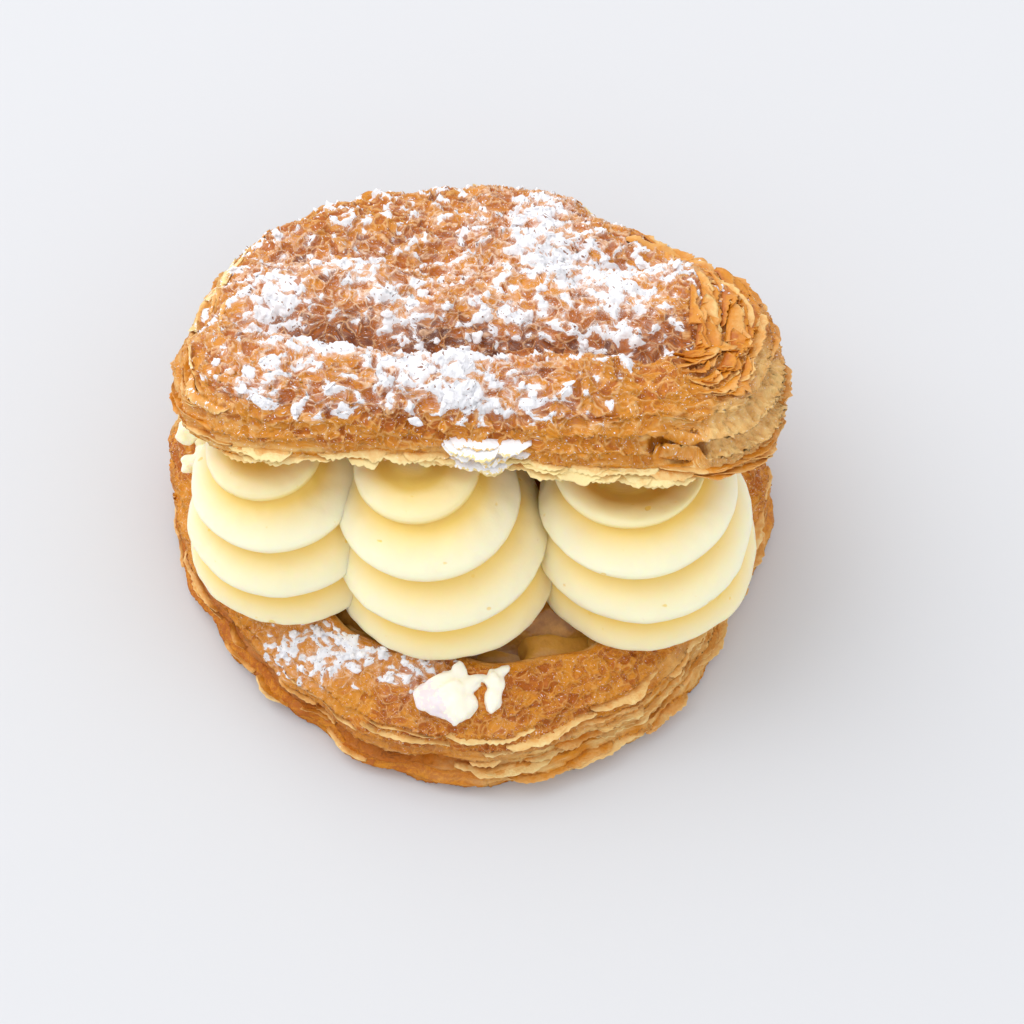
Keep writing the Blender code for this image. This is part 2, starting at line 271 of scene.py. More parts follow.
def points_of(data):
    found = np.zeros(len(data.vertices) * 3)
    data.vertices.foreach_get("co", found)
    return found.reshape(-1, 3) / MM


def move_points(data, points):
    data.vertices.foreach_set("co", (points * MM).ravel())
    data.update()


def ring_faces(rows, columns):
    """Four-sided faces between closed rings of points that lie one after the other."""
    row, column = np.meshgrid(np.arange(rows - 1), np.arange(columns), indexing="ij")
    after = (column + 1) % columns
    low, high = row * columns, (row + 1) * columns
    corners = (low + column, low + after, high + after, high + column)
    return np.stack(corners, -1).reshape(-1, 4).tolist()


def fan_faces(ring, end, turned=False):
    """Three-sided faces from a closed ring of points to an end point."""
    pairs = list(zip(ring, ring[1:] + ring[:1]))
    return [(b, a, end) if turned else (a, b, end) for a, b in pairs]


def closed_faces(rows, columns):
    """Faces of rings that end in a point below and a point above, which are the last two points."""
    last = rows * columns + 1
    faces = ring_faces(rows, columns)
    faces += fan_faces(list(range(columns)), last - 1, turned=True)
    return faces + fan_faces(list(range((rows - 1) * columns, rows * columns)), last)


def ball(rounds):
    """A ball of radius 1: its points and its three-sided faces."""
    bm = bmesh.new()
    bmesh.ops.create_icosphere(bm, subdivisions=rounds, radius=1.0)
    points = np.array([vert.co for vert in bm.verts])
    faces = [[vert.index for vert in face.verts] for face in bm.faces]
    bm.free()
    return points, faces


def joined(meshes):
    """One list of points and faces, and one array for each field, from several of them."""
    points, faces, fields, start = [], [], {}, 0
    for some_points, some_faces, some_fields in meshes:
        points.append(some_points)
        faces += [[start + corner for corner in face] for face in some_faces]
        for field, values in some_fields.items():
            fields.setdefault(field, []).append(values)
        start += len(some_points)
    return np.concatenate(points), faces, {k: np.concatenate(v) for k, v in fields.items()}


def plate(top, thickness, down):
    """A thin closed plate: a grid of points on top, and the same moved down along a direction."""
    rows, columns = top.shape[:2]
    edge = np.ones((rows, columns))
    edge[0], edge[-1], edge[:, 0], edge[:, -1] = 0.45, 0.35, 0.45, 0.45
    bottom = top + (thickness * edge)[..., None] * np.asarray(down)
    points = np.concatenate((top.reshape(-1, 3), bottom.reshape(-1, 3)))
    index = np.arange(rows * columns).reshape(rows, columns)
    a, b, c, d = index[:-1, :-1], index[:-1, 1:], index[1:, 1:], index[1:, :-1]
    upper = np.stack((a, b, c, d), -1).reshape(-1, 4)
    lower = upper[:, ::-1] + rows * columns
    around = np.concatenate((index[0, :-1], index[:-1, -1], index[-1, :0:-1], index[:0:-1, 0]))
    after = np.roll(around, -1)
    side = np.stack((around, around + rows * columns, after + rows * columns, after), -1)
    return points, np.concatenate((upper, lower, side)).tolist()


# Finish helpers


class Nodes:
    """Adds nodes to a material's or a modifier's tree."""

    def __init__(self, tree):
        self.tree = tree

    def add(self, kind, settings=None, **inputs):
        node = self.tree.nodes.new(kind)
        for name, value in (settings or {}).items():
            setattr(node, name, value)
        for name, value in inputs.items():
            self.feed(node.inputs[name.replace("_", " ")], value)
        return node

    def feed(self, socket, value):
        if isinstance(value, bpy.types.NodeSocket):
            self.tree.links.new(value, socket)
        elif isinstance(value, (tuple, list)) and len(value) == 3 and socket.type == "RGBA":
            socket.default_value = (*value, 1.0)
        else:
            socket.default_value = value

    def math(self, operation, a, b=0.0, c=0.0):
        node = self.tree.nodes.new("ShaderNodeMath")
        node.operation = operation
        for socket, value in zip(node.inputs, (a, b, c)):
            self.feed(socket, value)
        return node.outputs[0]

    def span(self, value, low, high, to_low=0.0, to_high=1.0, kind="SMOOTHSTEP"):
        """A value turned from one span to another."""
        node = self.tree.nodes.new("ShaderNodeMapRange")
        node.interpolation_type = kind
        for socket, given in zip(node.inputs, (value, low, high, to_low, to_high)):
            self.feed(socket, given)
        return node.outputs[0]

    def mix(self, share, a, b, blend="MIX"):
        node = self.tree.nodes.new("ShaderNodeMix")
        node.data_type, node.blend_type = "RGBA", blend
        self.feed(node.inputs[0], share)
        self.feed(node.inputs[6], a)
        self.feed(node.inputs[7], b)
        return node.outputs[2]

    def field(self, name, output="Fac"):
        return self.add("ShaderNodeAttribute", {"attribute_name": name}).outputs[output]

    def texture(self, name, place):
        kind, settings, inputs, output = CRUST_TEXTURES[name]
        return self.add(kind, settings, Vector=place, **inputs).outputs[output]

    def noise(self, place, scale, detail=2.0, roughness=0.5):
        made = self.add(
            "ShaderNodeTexNoise", None, Vector=place, Scale=scale, Detail=detail, Roughness=roughness
        )
        return made.outputs[0]

    def vary(self, base, value, share):
        """A base that a value from 0 to 1 makes uneven, by this share of it."""
        return self.math("MULTIPLY_ADD", self.math("SUBTRACT", value, 0.5), share, base)

    def bump(self, shader, height, strength, distance):
        made = self.add("ShaderNodeBump", None, Strength=strength, Distance=distance, Height=height)
        self.feed(shader.inputs["Normal"], made.outputs[0])


def new_finish(name):
    """A plain material: (material, its nodes, its shader)."""
    made = bpy.data.materials.new(name)
    made.use_nodes = True
    shader = made.node_tree.nodes["Principled BSDF"]
    return made, Nodes(made.node_tree), shader


def see_into(shader, weight, radius, scale):
    """Lets light spread in a soft or moist finish."""
    shader.inputs["Subsurface Weight"].default_value = weight
    shader.inputs["Subsurface Radius"].default_value = radius
    shader.inputs["Subsurface Scale"].default_value = scale


def read_textures(piece, names):
    """The crust's textures at each point of a piece, through its stored place."""
    tree = bpy.data.node_groups.new("read_textures", "GeometryNodeTree")
    tree.interface.new_socket("Geometry", in_out="INPUT", socket_type="NodeSocketGeometry")
    tree.interface.new_socket("Geometry", in_out="OUTPUT", socket_type="NodeSocketGeometry")
    nodes = Nodes(tree)
    given, made = nodes.add("NodeGroupInput"), nodes.add("NodeGroupOutput")
    place = nodes.add("GeometryNodeInputNamedAttribute", {"data_type": "FLOAT_VECTOR"}, Name="place")
    geometry = given.outputs[0]
    for name in names:
        keep = nodes.add("GeometryNodeStoreNamedAttribute", {"domain": "POINT"}, Name="read_" + name)
        value = nodes.texture(name, place.outputs[0])
        nodes.feed(keep.inputs["Value"], value)
        nodes.feed(keep.inputs["Geometry"], geometry)
        geometry = keep.outputs[0]
    nodes.feed(made.inputs[0], geometry)
    reader = piece.modifiers.new("read", "NODES")
    reader.node_group = tree
    seen = piece.evaluated_get(bpy.context.evaluated_depsgraph_get()).data
    found = {}
    for name in names:
        values = np.zeros(len(seen.vertices))
        seen.attributes["read_" + name].data.foreach_get("value", values)
        found[name] = values
    piece.modifiers.remove(reader)
    bpy.data.node_groups.remove(tree)
    return found


# Sizes and colours that a user would change


def colour(name, description, value):
    return FloatVectorProperty(
        name=name, description=description, default=value, subtype="COLOR", size=3, min=0, max=1
    )


def length(name, description, value):
    return FloatProperty(
        name=name, description=description, default=value * MM, unit="LENGTH", precision=5
    )


class PastryLook(bpy.types.PropertyGroup):
    """Colours and relief of both crusts."""

    amber: colour("Amber", "Glossy skin in the blisters", (0.485, 0.125, 0.004))
    # brown: reached along the lid's deep valley, as baked colour with painted shade; it also colours the
    # specks and darkens the base's groove
    brown: colour("Brown", "Well baked skin in the valleys", (0.17, 0.036, 0.004))
    gold: colour("Gold", "Lightly baked skin", (0.70, 0.26, 0.011))
    rim: colour("Rim", "Dry raised rims between blisters", (0.77, 0.385, 0.095))
    layer: colour("Layer", "Pale layers at the sides", (0.84, 0.54, 0.195))
    flake: colour("Flake", "Palest loose flakes", (0.92, 0.74, 0.34))
    blister_depth: length("Blister depth", "From a blister's rim to its floor", 0.75)
    flake_reach: length("Flake reach", "How far loose flakes stand out", USUAL_FLAKE_REACH)


class SugarLook(bpy.types.PropertyGroup):
    """Icing sugar on the crusts."""

    # white also colours the painted glints on the dry crust
    white: colour("Sugar", "Thick icing sugar", (0.93, 0.93, 0.96))
    dust: colour("Dust", "Thin sugar that the crust shows through", (0.90, 0.74, 0.67))
    thickness: length("Thickness", "Depth of the thickest sugar", 0.7)
    lumps: IntProperty(name="Lumps", description="Loose lumps on the lid", default=240, min=0)


class CreamLook(bpy.types.PropertyGroup):
    """Piped cream."""

    # body: the cream's own colour, kept pale where the lips are fullest as painted highlight
    body: colour("Cream", "The cream's own colour", (0.97, 0.91, 0.67))
    # crease_shade is painted shade: the deeper yellow of the creases, the pores, the top turns under the lid
    # and the lowest turn
    crease_shade: colour("Crease", "Cream deep between two turns of the rope", (0.90, 0.64, 0.15))
    softness: length("Softness", "How far light spreads in the cream", 3.0)


class AppleLook(bpy.types.PropertyGroup):
    """Stewed apple in the base."""

    flesh: colour("Flesh", "Stewed apple pieces", (0.62, 0.31, 0.05))
    sauce: colour("Sauce", "Brown sauce round the pieces", (0.32, 0.13, 0.015))


class StageLook(bpy.types.PropertyGroup):
    """Floor, lights and camera."""

    floor: colour("Floor", "Plain pale floor", (0.665, 0.675, 0.70))
    sky: FloatProperty(name="Sky", description="Strength of the even light", default=1.02, min=0)
    key: FloatProperty(name="Key", description="Power of the key light", default=33.0, unit="POWER")
    distance: length("Distance", "From the camera to the middle of the food", 620)
    lens: FloatProperty(name="Lens", description="Focal length", default=109.0, unit="CAMERA")


LOOKS = {"pastry": PastryLook, "sugar": SugarLook, "cream": CreamLook, "apple": AppleLook}
LOOKS["stage"] = StageLook


def look(kind):
    return getattr(bpy.context.scene, "turnover_" + kind)


# Crust finish


def crust_finish(name):
    """Baked puff pastry: amber blisters, dry rims, pale layers, icing sugar and painted white glints, by
    stored fields.
    """
    pastry, sugar_look = look("pastry"), look("sugar")
    made, nodes, shader = new_finish(name)
    place = nodes.field("place", "Vector")
    blister, crinkle, tone, grit, spots = (nodes.texture(name, place) for name in CRUST_TEXTURES)
    fine = nodes.noise(place, 3.4, 3.0, 0.6)
    broad = nodes.noise(place, 0.16, 2.0, 0.5)
    baked = nodes.field("baked")
    cell = nodes.math("MULTIPLY_ADD", nodes.field("dry"), 0.9, 0.1)
    for value, share in ((broad, 1.2), (tone, cell), (grit, 1.5), (fine, 0.5)):
        baked = nodes.vary(baked, value, share)
    skin = nodes.mix(nodes.span(baked, 0.05, 0.6), tuple(pastry.gold), tuple(pastry.amber))
    skin = nodes.mix(nodes.span(baked, 0.65, 1.3), skin, tuple(pastry.brown))
    rim = nodes.math("MULTIPLY", nodes.span(blister, 0.01, 0.10, 1.0, 0.0), nodes.span(grit, 0.38, 0.55))
    small = nodes.math("MULTIPLY", nodes.span(crinkle, 0.01, 0.08, 1.0, 0.0), nodes.span(spots, 0.45, 0.6))
    edges = nodes.math("MAXIMUM", rim, nodes.math("MULTIPLY", small, 0.7))
    skin = nodes.mix(nodes.math("MULTIPLY", edges, nodes.field("dry")), skin, tuple(pastry.rim))
    streaks = nodes.span(nodes.noise(nodes.field("strata", "Vector"), 1.0, 3.0, 0.6), 0.38, 0.62)
    streaks = nodes.math("MULTIPLY", streaks, nodes.span(nodes.field("torn"), 0.0, 1.0, 1.0, 0.4))
    pale = nodes.mix(streaks, tuple(pastry.layer), tuple(pastry.gold))
    skin = nodes.mix(nodes.field("layered"), skin, pale)
    uneven = nodes.math("MULTIPLY", nodes.math("SUBTRACT", fine, 0.5), 0.3)
    for value, share in zip((spots, grit), SUGAR_NOISE.values()):
        uneven = nodes.vary(uneven, value, share)
    sugar = nodes.field("sugar")
    heap = nodes.math("MULTIPLY_ADD", uneven, nodes.span(sugar, *SUGAR_LIES), sugar)
    powder = nodes.math("MULTIPLY", edges, 0.7)
    powder = nodes.math("MULTIPLY_ADD", nodes.span(fine, 0.44, 0.66), 0.45, powder)
    powder = nodes.math("MULTIPLY_ADD", nodes.span(heap, SUGAR_STARTS - 0.45, SUGAR_STARTS), 0.5, powder)
    dusting = nodes.math("MULTIPLY", nodes.field("dust"), powder)
    dusting = nodes.math("MINIMUM", dusting, 0.85)
    skin = nodes.mix(dusting, skin, tuple(sugar_look.dust))
    cover = nodes.span(heap, SUGAR_STARTS, SUGAR_COVERS)
    specks = nodes.span(nodes.noise(place, 1.7, 1.0, 0.4), 0.67, 0.71)
    spice = nodes.math("MULTIPLY", specks, nodes.math("MULTIPLY", cover, 0.8))
    skin = nodes.mix(spice, skin, tuple(pastry.brown))
    cover = nodes.math("MULTIPLY", cover, nodes.math("SUBTRACT", 1.0, specks))
    # painted highlights: tiny white glints on the dry crust, drawn in the sugar's white
    painted_glints = nodes.span(nodes.noise(place, 3.0, 0.0, 0.5), 0.74, 0.78)
    cover = nodes.math("MAXIMUM", cover, nodes.math("MULTIPLY", painted_glints, nodes.field("dry")))
    nodes.feed(shader.inputs["Base Color"], nodes.mix(cover, skin, tuple(sugar_look.white)))
    powdered = nodes.math("MAXIMUM", dusting, cover)
    nodes.feed(shader.inputs["Roughness"], nodes.span(powdered, 0.0, 0.5, 0.3, 0.9))
    shader.inputs["Specular IOR Level"].default_value = 0.32
    relief = nodes.math("MULTIPLY_ADD", fine, 0.45, nodes.math("MULTIPLY", grit, 0.6))
    nodes.bump(shader, relief, 0.7, 0.0005)
    return made


def sugar_heap(sugar, found):
    """How much sugar lies at each point, uneven as its finish is."""
    uneven = sum(share * (found[texture] - 0.5) for texture, share in SUGAR_NOISE.items())
    return sugar + uneven * smooth(*SUGAR_LIES, sugar)


def roughen(piece, points, masks):
    """Blisters, crinkles, layers and sugar stand out from a crust along its normals."""
    data = piece.data
    found = read_textures(piece, CRUST_TEXTURES)
    depth = look("pastry").blister_depth / MM
    rim = 1 - smooth(0.0, 0.16, found["blister"])
    small = 1 - smooth(0.0, 0.16, found["crinkle"])
    dome = (0.62 - found["tone"]) * smooth(0.0, 0.5, found["blister"])
    out = depth * (1.0 * rim - 0.3 + 2.6 * dome) + 0.2 * (small - 0.3)
    out = out * masks["dry"] + 1.2 * (found["grit"] - 0.5)
    out = out + masks["layered"] * (0.45 + 0.5 * masks["torn"]) * (masks["ledge"] - 0.5)
    out = out - HOLE_DEPTH * masks["hole"] - RELIEF_SINKS
    out = out + look("sugar").thickness / MM * smooth(0.42, 1.1, sugar_heap(masks["sugar"], found))
    move_points(data, points + normals_of(data) * (out * masks["rough"])[:, None])


def ledges(height, x, y, seed):
    """The worn edges of thin layers: it climbs slowly with height and falls back sharply."""
    return (height * 0.85 + 0.7 * crag(x, y, height, 7, seed) + 0.25 * crag(x, y, height, 2.2, seed)) % 1.0


# Upper crust


def lid_reach(angle):
    """From the lid's middle to its edge: a round with its front cut off and its corners rounded."""
    across = LID_MIDDLE_V * np.cos(angle)
    reach = -LID_MIDDLE_V * np.sin(angle) + np.sqrt(LID_RADIUS**2 - across**2)
    falling = np.maximum(-np.sin(angle), 1e-6)
    to_cut = (LID_MIDDLE_V - LID_CUT_V) / falling
    cut = (reach**-11.0 + to_cut**-11.0) ** (-1 / 11)
    reach = np.where(np.sin(angle) < 0, cut, reach)
    wave = 0.6 * np.sin(5 * angle + 0.4) + 0.4 * np.sin(11 * angle + 1.3)
    return reach + wave + stretched(angle, LID_STRETCHES)


def deep_valley(u):
    """Where the deep valley runs across the lid."""
    return -6.8 + 0.003 * (u - 5) ** 2


def lid_swell(u, v):
    """Thickness of the risen pastry: three broad rolls with a deep and a shallow valley between."""
    deep_v = deep_valley(u)
    shallow_v = 19.0 + 0.05 * u
    ends = 1 - smooth(32, 52, np.abs(u))
    deep = 7.0 * bell((v - deep_v) / 5.2) * (0.35 + 0.65 * ends)
    shallow = 3.4 * bell((v - shallow_v) / 5.5) * ends
    drift = 1.4 * crag(u, v, 0, 24, 6)
    return LID_THICKNESS + 1.2 * smooth(-4, 20, v) - deep - shallow + drift


def lid_blunt(u):
    """How bluntly the top turns down into the side: more at the right end."""
    return 7.0 + 4.0 * smooth(10, 50, u)


def lid_top(angle, q):
    """Points of the lid's upper side, q of the way from its middle to its edge."""
    reach = lid_reach(angle)
    u = q * reach * np.cos(angle)
    v = LID_MIDDLE_V + q * reach * np.sin(angle)
    w = lid_swell(u, v) * (1 - q ** lid_blunt(u)) ** 0.5 * (1 - 0.16 * q * q)
    rim = smooth(0.86, 0.97, q)
    flaky = 0.4 + 0.9 * smooth(15, 45, u)
    layers = flaky * np.sin(w * 1.9 + 2.0 * crag(u, v, 0, 20, 7)) * rim * (1 - smooth(0.994, 1, q))
    out = 1 + (layers + 0.7 * rim * crag(u, v, w, 7, 8)) / reach
    top = 1 - smooth(0.93, 1, q)
    w = w + top * (0.9 * crag(u, v, 0, 8, 9) + 0.5 * crag(u, v, 0, 4.2, 10))
    return np.stack((u * out, LID_MIDDLE_V + (v - LID_MIDDLE_V) * out, w), -1)


def lid_under(angle, q):
    """Points of the hollow underside."""
    reach = lid_reach(angle) * q
    w = LID_HOLLOW * (1 - q**4) + 0 * angle
    return np.stack((reach * np.cos(angle), LID_MIDDLE_V + reach * np.sin(angle), w), -1)


def round_grid(steps):
    """(angle, distance) of a square grid's points when the square is drawn out to a round of 1."""
    a, b = np.meshgrid(np.linspace(-1, 1, steps + 1), np.linspace(-1, 1, steps + 1), indexing="ij")
    x, y = a * np.sqrt(1 - b * b / 2), b * np.sqrt(1 - a * a / 2)
    return np.arctan2(y, x), np.hypot(x, y)


def square_edge(steps):
    """The indices of a square grid's outer points, in order round it."""
    index = np.arange((steps + 1) ** 2).reshape(steps + 1, steps + 1)
    return np.concatenate((index[:-1, 0], index[-1, :-1], index[:0:-1, -1], index[0, :0:-1]))


def lid_parts():
    """The lid's points in its own frame, its faces, and how far round the side each point lies."""
    steps = LID_STEPS
    angle, share = round_grid(steps)
    grid = lid_top(angle, share * LID_TOP_SHARE).reshape(-1, 3)
    index = np.arange((steps + 1) ** 2).reshape(steps + 1, steps + 1)
    corners = (index[:-1, :-1], index[1:, :-1], index[1:, 1:], index[:-1, 1:])
    faces = np.stack(corners, -1).reshape(-1, 4).tolist()
    edge = square_edge(steps)
    around = angle.ravel()[edge]
    reach = lid_reach(around)
    blunt = lid_blunt(LID_TOP_SHARE * reach * np.cos(around))
    start = (1 - LID_TOP_SHARE**blunt) ** 0.5
    rings, depth = [], []
    for row in range(1, LID_SIDE_ROWS + 1):
        height = start * (1 - row / LID_SIDE_ROWS)
        q = np.clip(1 - height**2, 0, 1) ** (1 / blunt)
        rings.append(lid_top(around, q))
        depth.append(1 - height)
    for q in (0.985, 0.965, 0.93, 0.86, 0.7, 0.45, 0.2):
        rings.append(lid_under(around, q))
        depth.append(np.full_like(around, 1 + (1 - q)))
    points = np.concatenate([grid] + rings + [lid_under(np.zeros(1), 0.0)])
    depths = np.concatenate([1 - (1 - (share.ravel() * LID_TOP_SHARE) ** 8) ** 0.5] + depth + [[2.0]])
    count, first = len(around), len(grid)
    rows = np.concatenate((edge[None], first + np.arange(len(rings) * count).reshape(-1, count)))
    low, high = rows[:-1], rows[1:]
    after_low, after_high = np.roll(low, -1, 1), np.roll(high, -1, 1)
    faces += np.stack((low, high, after_high, after_low), -1).reshape(-1, 4).tolist()
    faces += fan_faces(rows[-1].tolist(), len(points) - 1, turned=True)
    return points, faces, depths


def lid_to_food(points):
    """From the lid's own frame to the food's."""
    turn = np.array(Euler((-LID_TILT, 0, LID_YAW)).to_matrix())
    return points @ turn.T + np.array(LID_CENTRE)


def lid_masks(points, depth):
    """What the crust finish and its relief read at each point of the lid."""
    u, v, w = points.T
    side = smooth(0.25, 0.75, depth)
    valley = bell((v - deep_valley(u) - 1.0) / 4.5) * (1 - smooth(30, 46, np.abs(u)))
    lump = crag(u, v, w, 9, 21)
    right = smooth(33, 46, u + 4 * lump) * smooth(-40, -28, -np.abs(v + 8))
    left = smooth(40, 50, -u + 4 * lump) * (1 - smooth(5, 16, v))
    band = smooth(0.76, 0.9, depth + 0.1 * lump)
    open_top = 1 - smooth(0.3, 0.6, depth)
    lying = heaped(u, v, LID_SUGAR)
    sugar = lying * open_top
    away = 1 - 0.9 * smooth(30, 40, u - 0.3 * v + 3 * lump)
    dust = (0.9 * lying**0.5 + 0.2 * lump) * (1 - smooth(0.2, 0.5, depth)) * away
    clean = 0.5 * smooth(8, 22, u) * smooth(-2, -8, v)
    dust = dust * (1 - 0.5 * smooth(42, 50, -u)) * (1 - 0.8 * valley) * (1 - clean) + 0.06 * (1 - band)
    # a torn block of upright layers at the right end, and the opening with its pale arc beside it
    block = smooth(42, 45, u + 2 * lump) * smooth(0.2, 0.34, depth + 0.05 * lump) * smooth(6, -2, v)
    from_hole = np.hypot((u - 38.5) / 5.5, (depth - 0.62) / 0.24) + 0.08 * lump
    hole = (1 - smooth(0.8, 1.05, from_hole)) * smooth(-5, -12, v)
    arc = bell((from_hole - 1.2) / 0.14) * smooth(-5, -12, v) * smooth(0.75, 0.6, depth)
    layered = 0.6 * right * (0.3 + 0.7 * side) + 0.5 * left * side + 0.95 * band
    layered = np.maximum(layered, np.maximum(block, arc))
    front = 0.35 * side * smooth(0, -15, v) + 0.4 * smooth(12, 30, u) * smooth(-12, -20, v)
    shown = 1 - smooth(1.0, 1.1, depth)
    return {
        "sugar": np.clip(np.maximum(sugar, 0.22 * away * open_top), 0, 1),
        "dust": np.clip(dust, 0, 1),
        # darker brown along the deep valley: baked colour with painted shade
        "baked": 0.45 + 0.7 * valley - 0.15 * right - 0.2 * left - front - 0.3 * hole,
        "layered": np.clip(layered, 0, 1),
        "ledge": ledges(w, u, v, 43) * (1 - block) + ledges(0.8 * u - 0.6 * v, w, v, 45) * block,
        "torn": block,
        "hole": hole,
        "dry": (1 - 0.6 * np.clip(layered, 0, 1)) * (1 - 0.4 * valley),
        "rough": 0.15 + 0.85 * shown,
    }


def food_place(points, stretch, size, seed):
    """Where textures are read: the point itself, bent by lumps so that no two cells are alike."""
    x, y, z = points.T
    bend = [size * crag(x, y, z, 4.5, seed + k) for k in range(3)]
    bend = [far + 0.5 * size * crag(x, y, z, 1.7, seed + 5 + k) for k, far in enumerate(bend)]
    return np.stack((x + bend[0], y + bend[1], z * stretch + bend[2]), -1)


class TURNOVER_OT_upper_crust(bpy.types.Operator):
    """The risen top, with its blisters, valleys and icing sugar"""

    bl_idname = "turnover.upper_crust"
    bl_label = "Upper crust"

    def execute(self, context):
        points, faces, depth = lid_parts()
        masks = lid_masks(points, depth)
        u, v, w = points.T
        fields = dict(masks)
        fields["place"] = food_place(points, 1.5, 0.9, 31)
        level = w * 1.1 + 0.8 * crag(u, v, 0, 18, 41)
        upright = masks["torn"]
        flat, steep = (u * 0.12, v * 0.12, level), (u * 0.7, v * 0.7, w * 0.15)
        mixed = [a * (1 - upright) + b * upright for a, b in zip(flat, steep)]
        fields["strata"] = np.stack(mixed, -1)
        finish = crust_finish("upper_crust_finish")
        made = new_piece(
            "upper_crust", lid_to_food(points), faces, finish, "crust", ("upper_pastry",), fields
        )
        roughen(made, lid_to_food(points), masks)
        return {"FINISHED"}


# Lower crust


def base_rim(angle):
    """Radius of the sealed edge: nearly round, with a wavy hand-cut line."""
    wave = 0.4 * np.sin(7 * angle + 0.8) + 0.3 * np.sin(13 * angle + 2.1)
    return BASE_RADIUS + wave + stretched(angle, BASE_STRETCHES)


def frontness(angle):
    """1 in front, where a strip of the top crust stayed on, and 0 at the back."""
    return smooth(-0.25, 0.45, -np.sin(angle))


def base_section(angle):
    """(inset from the rim, height) from the underside round the outside to the hollow's floor."""
    front = frontness(angle)
    flat = 0 * angle
    strip = BACK_STRIP + (FRONT_STRIP - BACK_STRIP) * front + stretched(angle, STRIP_STRETCHES)
    section = [(4.0 + flat, flat)]
    for k in range(4):
        turn = math.radians(-58 + 42 * k)
        layer_z = EDGE_LAYER_HEIGHT / 2 * (1 + math.sin(turn))
        section.append((1.9 * (1 - math.cos(turn)) + flat, layer_z + flat))
    section.append((1.4 + 1.8 * front, EDGE_LAYER_HEIGHT + 0.5 + flat))
    lip_in = 0.6 + 1.2 * front
    roundness = 0.55 + 0.35 * front
    for k in range(9):
        turn = math.radians(90) * k / 8
        rise = math.sin(turn) ** roundness if k else flat
        out = 1 - max(math.cos(turn), 0.0) ** (1.9 - 0.4 * front)
        section.append((lip_in + (strip - lip_in) * out, 7.6 + (BASE_HEIGHT - 7.6) * rise))
    section.append((strip + 1.6, BASE_HEIGHT - 0.9 + flat))
    section.append((strip + 2.0, BASE_HEIGHT - CUT_THICKNESS + flat))
    section.append((strip - 0.4, BASE_HEIGHT - CUT_THICKNESS - 3.5 + flat))
    section.append((strip - 0.6, FLOOR_THICKNESS + 3.0 + flat))
    section.append((strip + 2.4, FLOOR_THICKNESS + flat))
    return np.array(section)


def through(rows, share):
    """A curve through rows of points, read between two of them."""
    last = len(rows) - 1
    k = min(int(share), last - 1)
    t = share - k
    a, b, c, d = (rows[min(max(k + step, 0), last)] for step in (-1, 0, 1, 2))
    bend = (2 * b + (c - a) * t + (2 * a - 5 * b + 4 * c - d) * t * t + (3 * b - a - 3 * c + d) * t**3) / 2
    straight = b + (c - b) * t
    return 0.75 * bend + 0.25 * straight


def base_rows(section):
    """Shares along the section at which its dense rows lie, closer where the crust shows."""
    shares = []
    lengths = np.hypot(*np.diff(section, axis=0).transpose(1, 0, 2)).max(1)
    for k, long in enumerate(lengths):
        step = BASE_ROW_STEP if k < 16 else 2.5
        count = max(1, math.ceil(long / step))
        shares += [k + t / count for t in range(count)]
    return shares + [len(lengths)]


def base_relief(angle, inset, z):
    """Points of the lower pastry, with lumps, blisters and the edges of its layers."""
    radius = base_rim(angle) - inset
    x, y = radius * np.cos(angle), radius * np.sin(angle)
    inside = smooth(BACK_STRIP, BACK_STRIP + 1.5, inset) * (1 - frontness(angle))
    shown = 1 - 0.8 * np.maximum(inside, smooth(FRONT_STRIP, FRONT_STRIP + 1.5, inset))
    side = 1 - smooth(13, 18, z)
    layers = 0.55 * np.sin(z * 2.3 + 1.5 * crag(x, y, 0, 22, 1)) * side
    push = shown * (0.8 * crag(x, y, z, 11, 2) + 0.6 * crag(x, y, z, 5, 3) + layers)
    push = push * smooth(0.0, 0.8, z)
    lift = shown * 0.9 * crag(x, y, 0, 9, 4) * smooth(9, 16, z)
    scale = (radius + push) / radius
    return np.stack((x * scale, y * scale, np.minimum(z + lift, CREAM_BOTTOM - 0.3)), -1)


def base_masks(points, angle, share):
    """What the crust finish and its relief read at each point of the base."""
    x, y, z = points.T
    lump = crag(x, y, z, 9, 22)
    dome = smooth(7.5, 12, z + lump)
    outer = 1 - smooth(14.2, 15.6, share)
    degrees = np.degrees(angle)
    right = smooth(-75, -55, degrees + 6 * lump) * (1 - smooth(-12, 4, degrees))
    left = smooth(-105, -125, degrees) * dome
    groove = bell((z - 6.6) / 1.2) * outer
    sugar = heaped(x, y, BASE_SUGAR)
    front = smooth(-0.1, 0.5, -np.sin(angle)) * dome * outer
    strip = smooth(12.6, 14.5, share) * outer * frontness(angle)
    layered = 0.8 * right * (1 - smooth(10, 15, z + 2 * lump)) + 0.9 * (1 - outer)
    pale = bell((degrees + 74 + 5 * lump) / 16) * (1 - smooth(8.5, 11, z + lump))
    layered = layered + 0.5 * bell((z - 7.5) / 1.5) * outer + pale
    thick = smooth(6.8, 8.6, z)
    speck = 3.0 * bell(np.hypot(x - 15.3, y + 51.5) / 0.7) * (z > 15)
    paler = 0.2 * right + 0.3 * strip + 0.08 * (1 - dome) + 0.45 * left + 0.25 * sugar * front
    return {
        "sugar": np.clip(sugar * dome * outer, 0, 1),
        "dust": np.clip((0.15 * lump + 0.8 * sugar - 0.06) * front, 0, 1),
        "baked": 0.42 + 0.5 * groove + speck - paler,
        "layered": np.clip(layered, 0, 1),
        "ledge": ledges(z, x, y, 44),
        "torn": 0 * z,
        "hole": 0 * z,
        "dry": (0.25 + 0.4 * dome) * thick * outer * (1 - 0.6 * np.clip(layered, 0, 1)),
        "rough": outer * smooth(0.0, 0.7, z) * (1 - smooth(18.9, 20.2, z) * 0.6),
    }


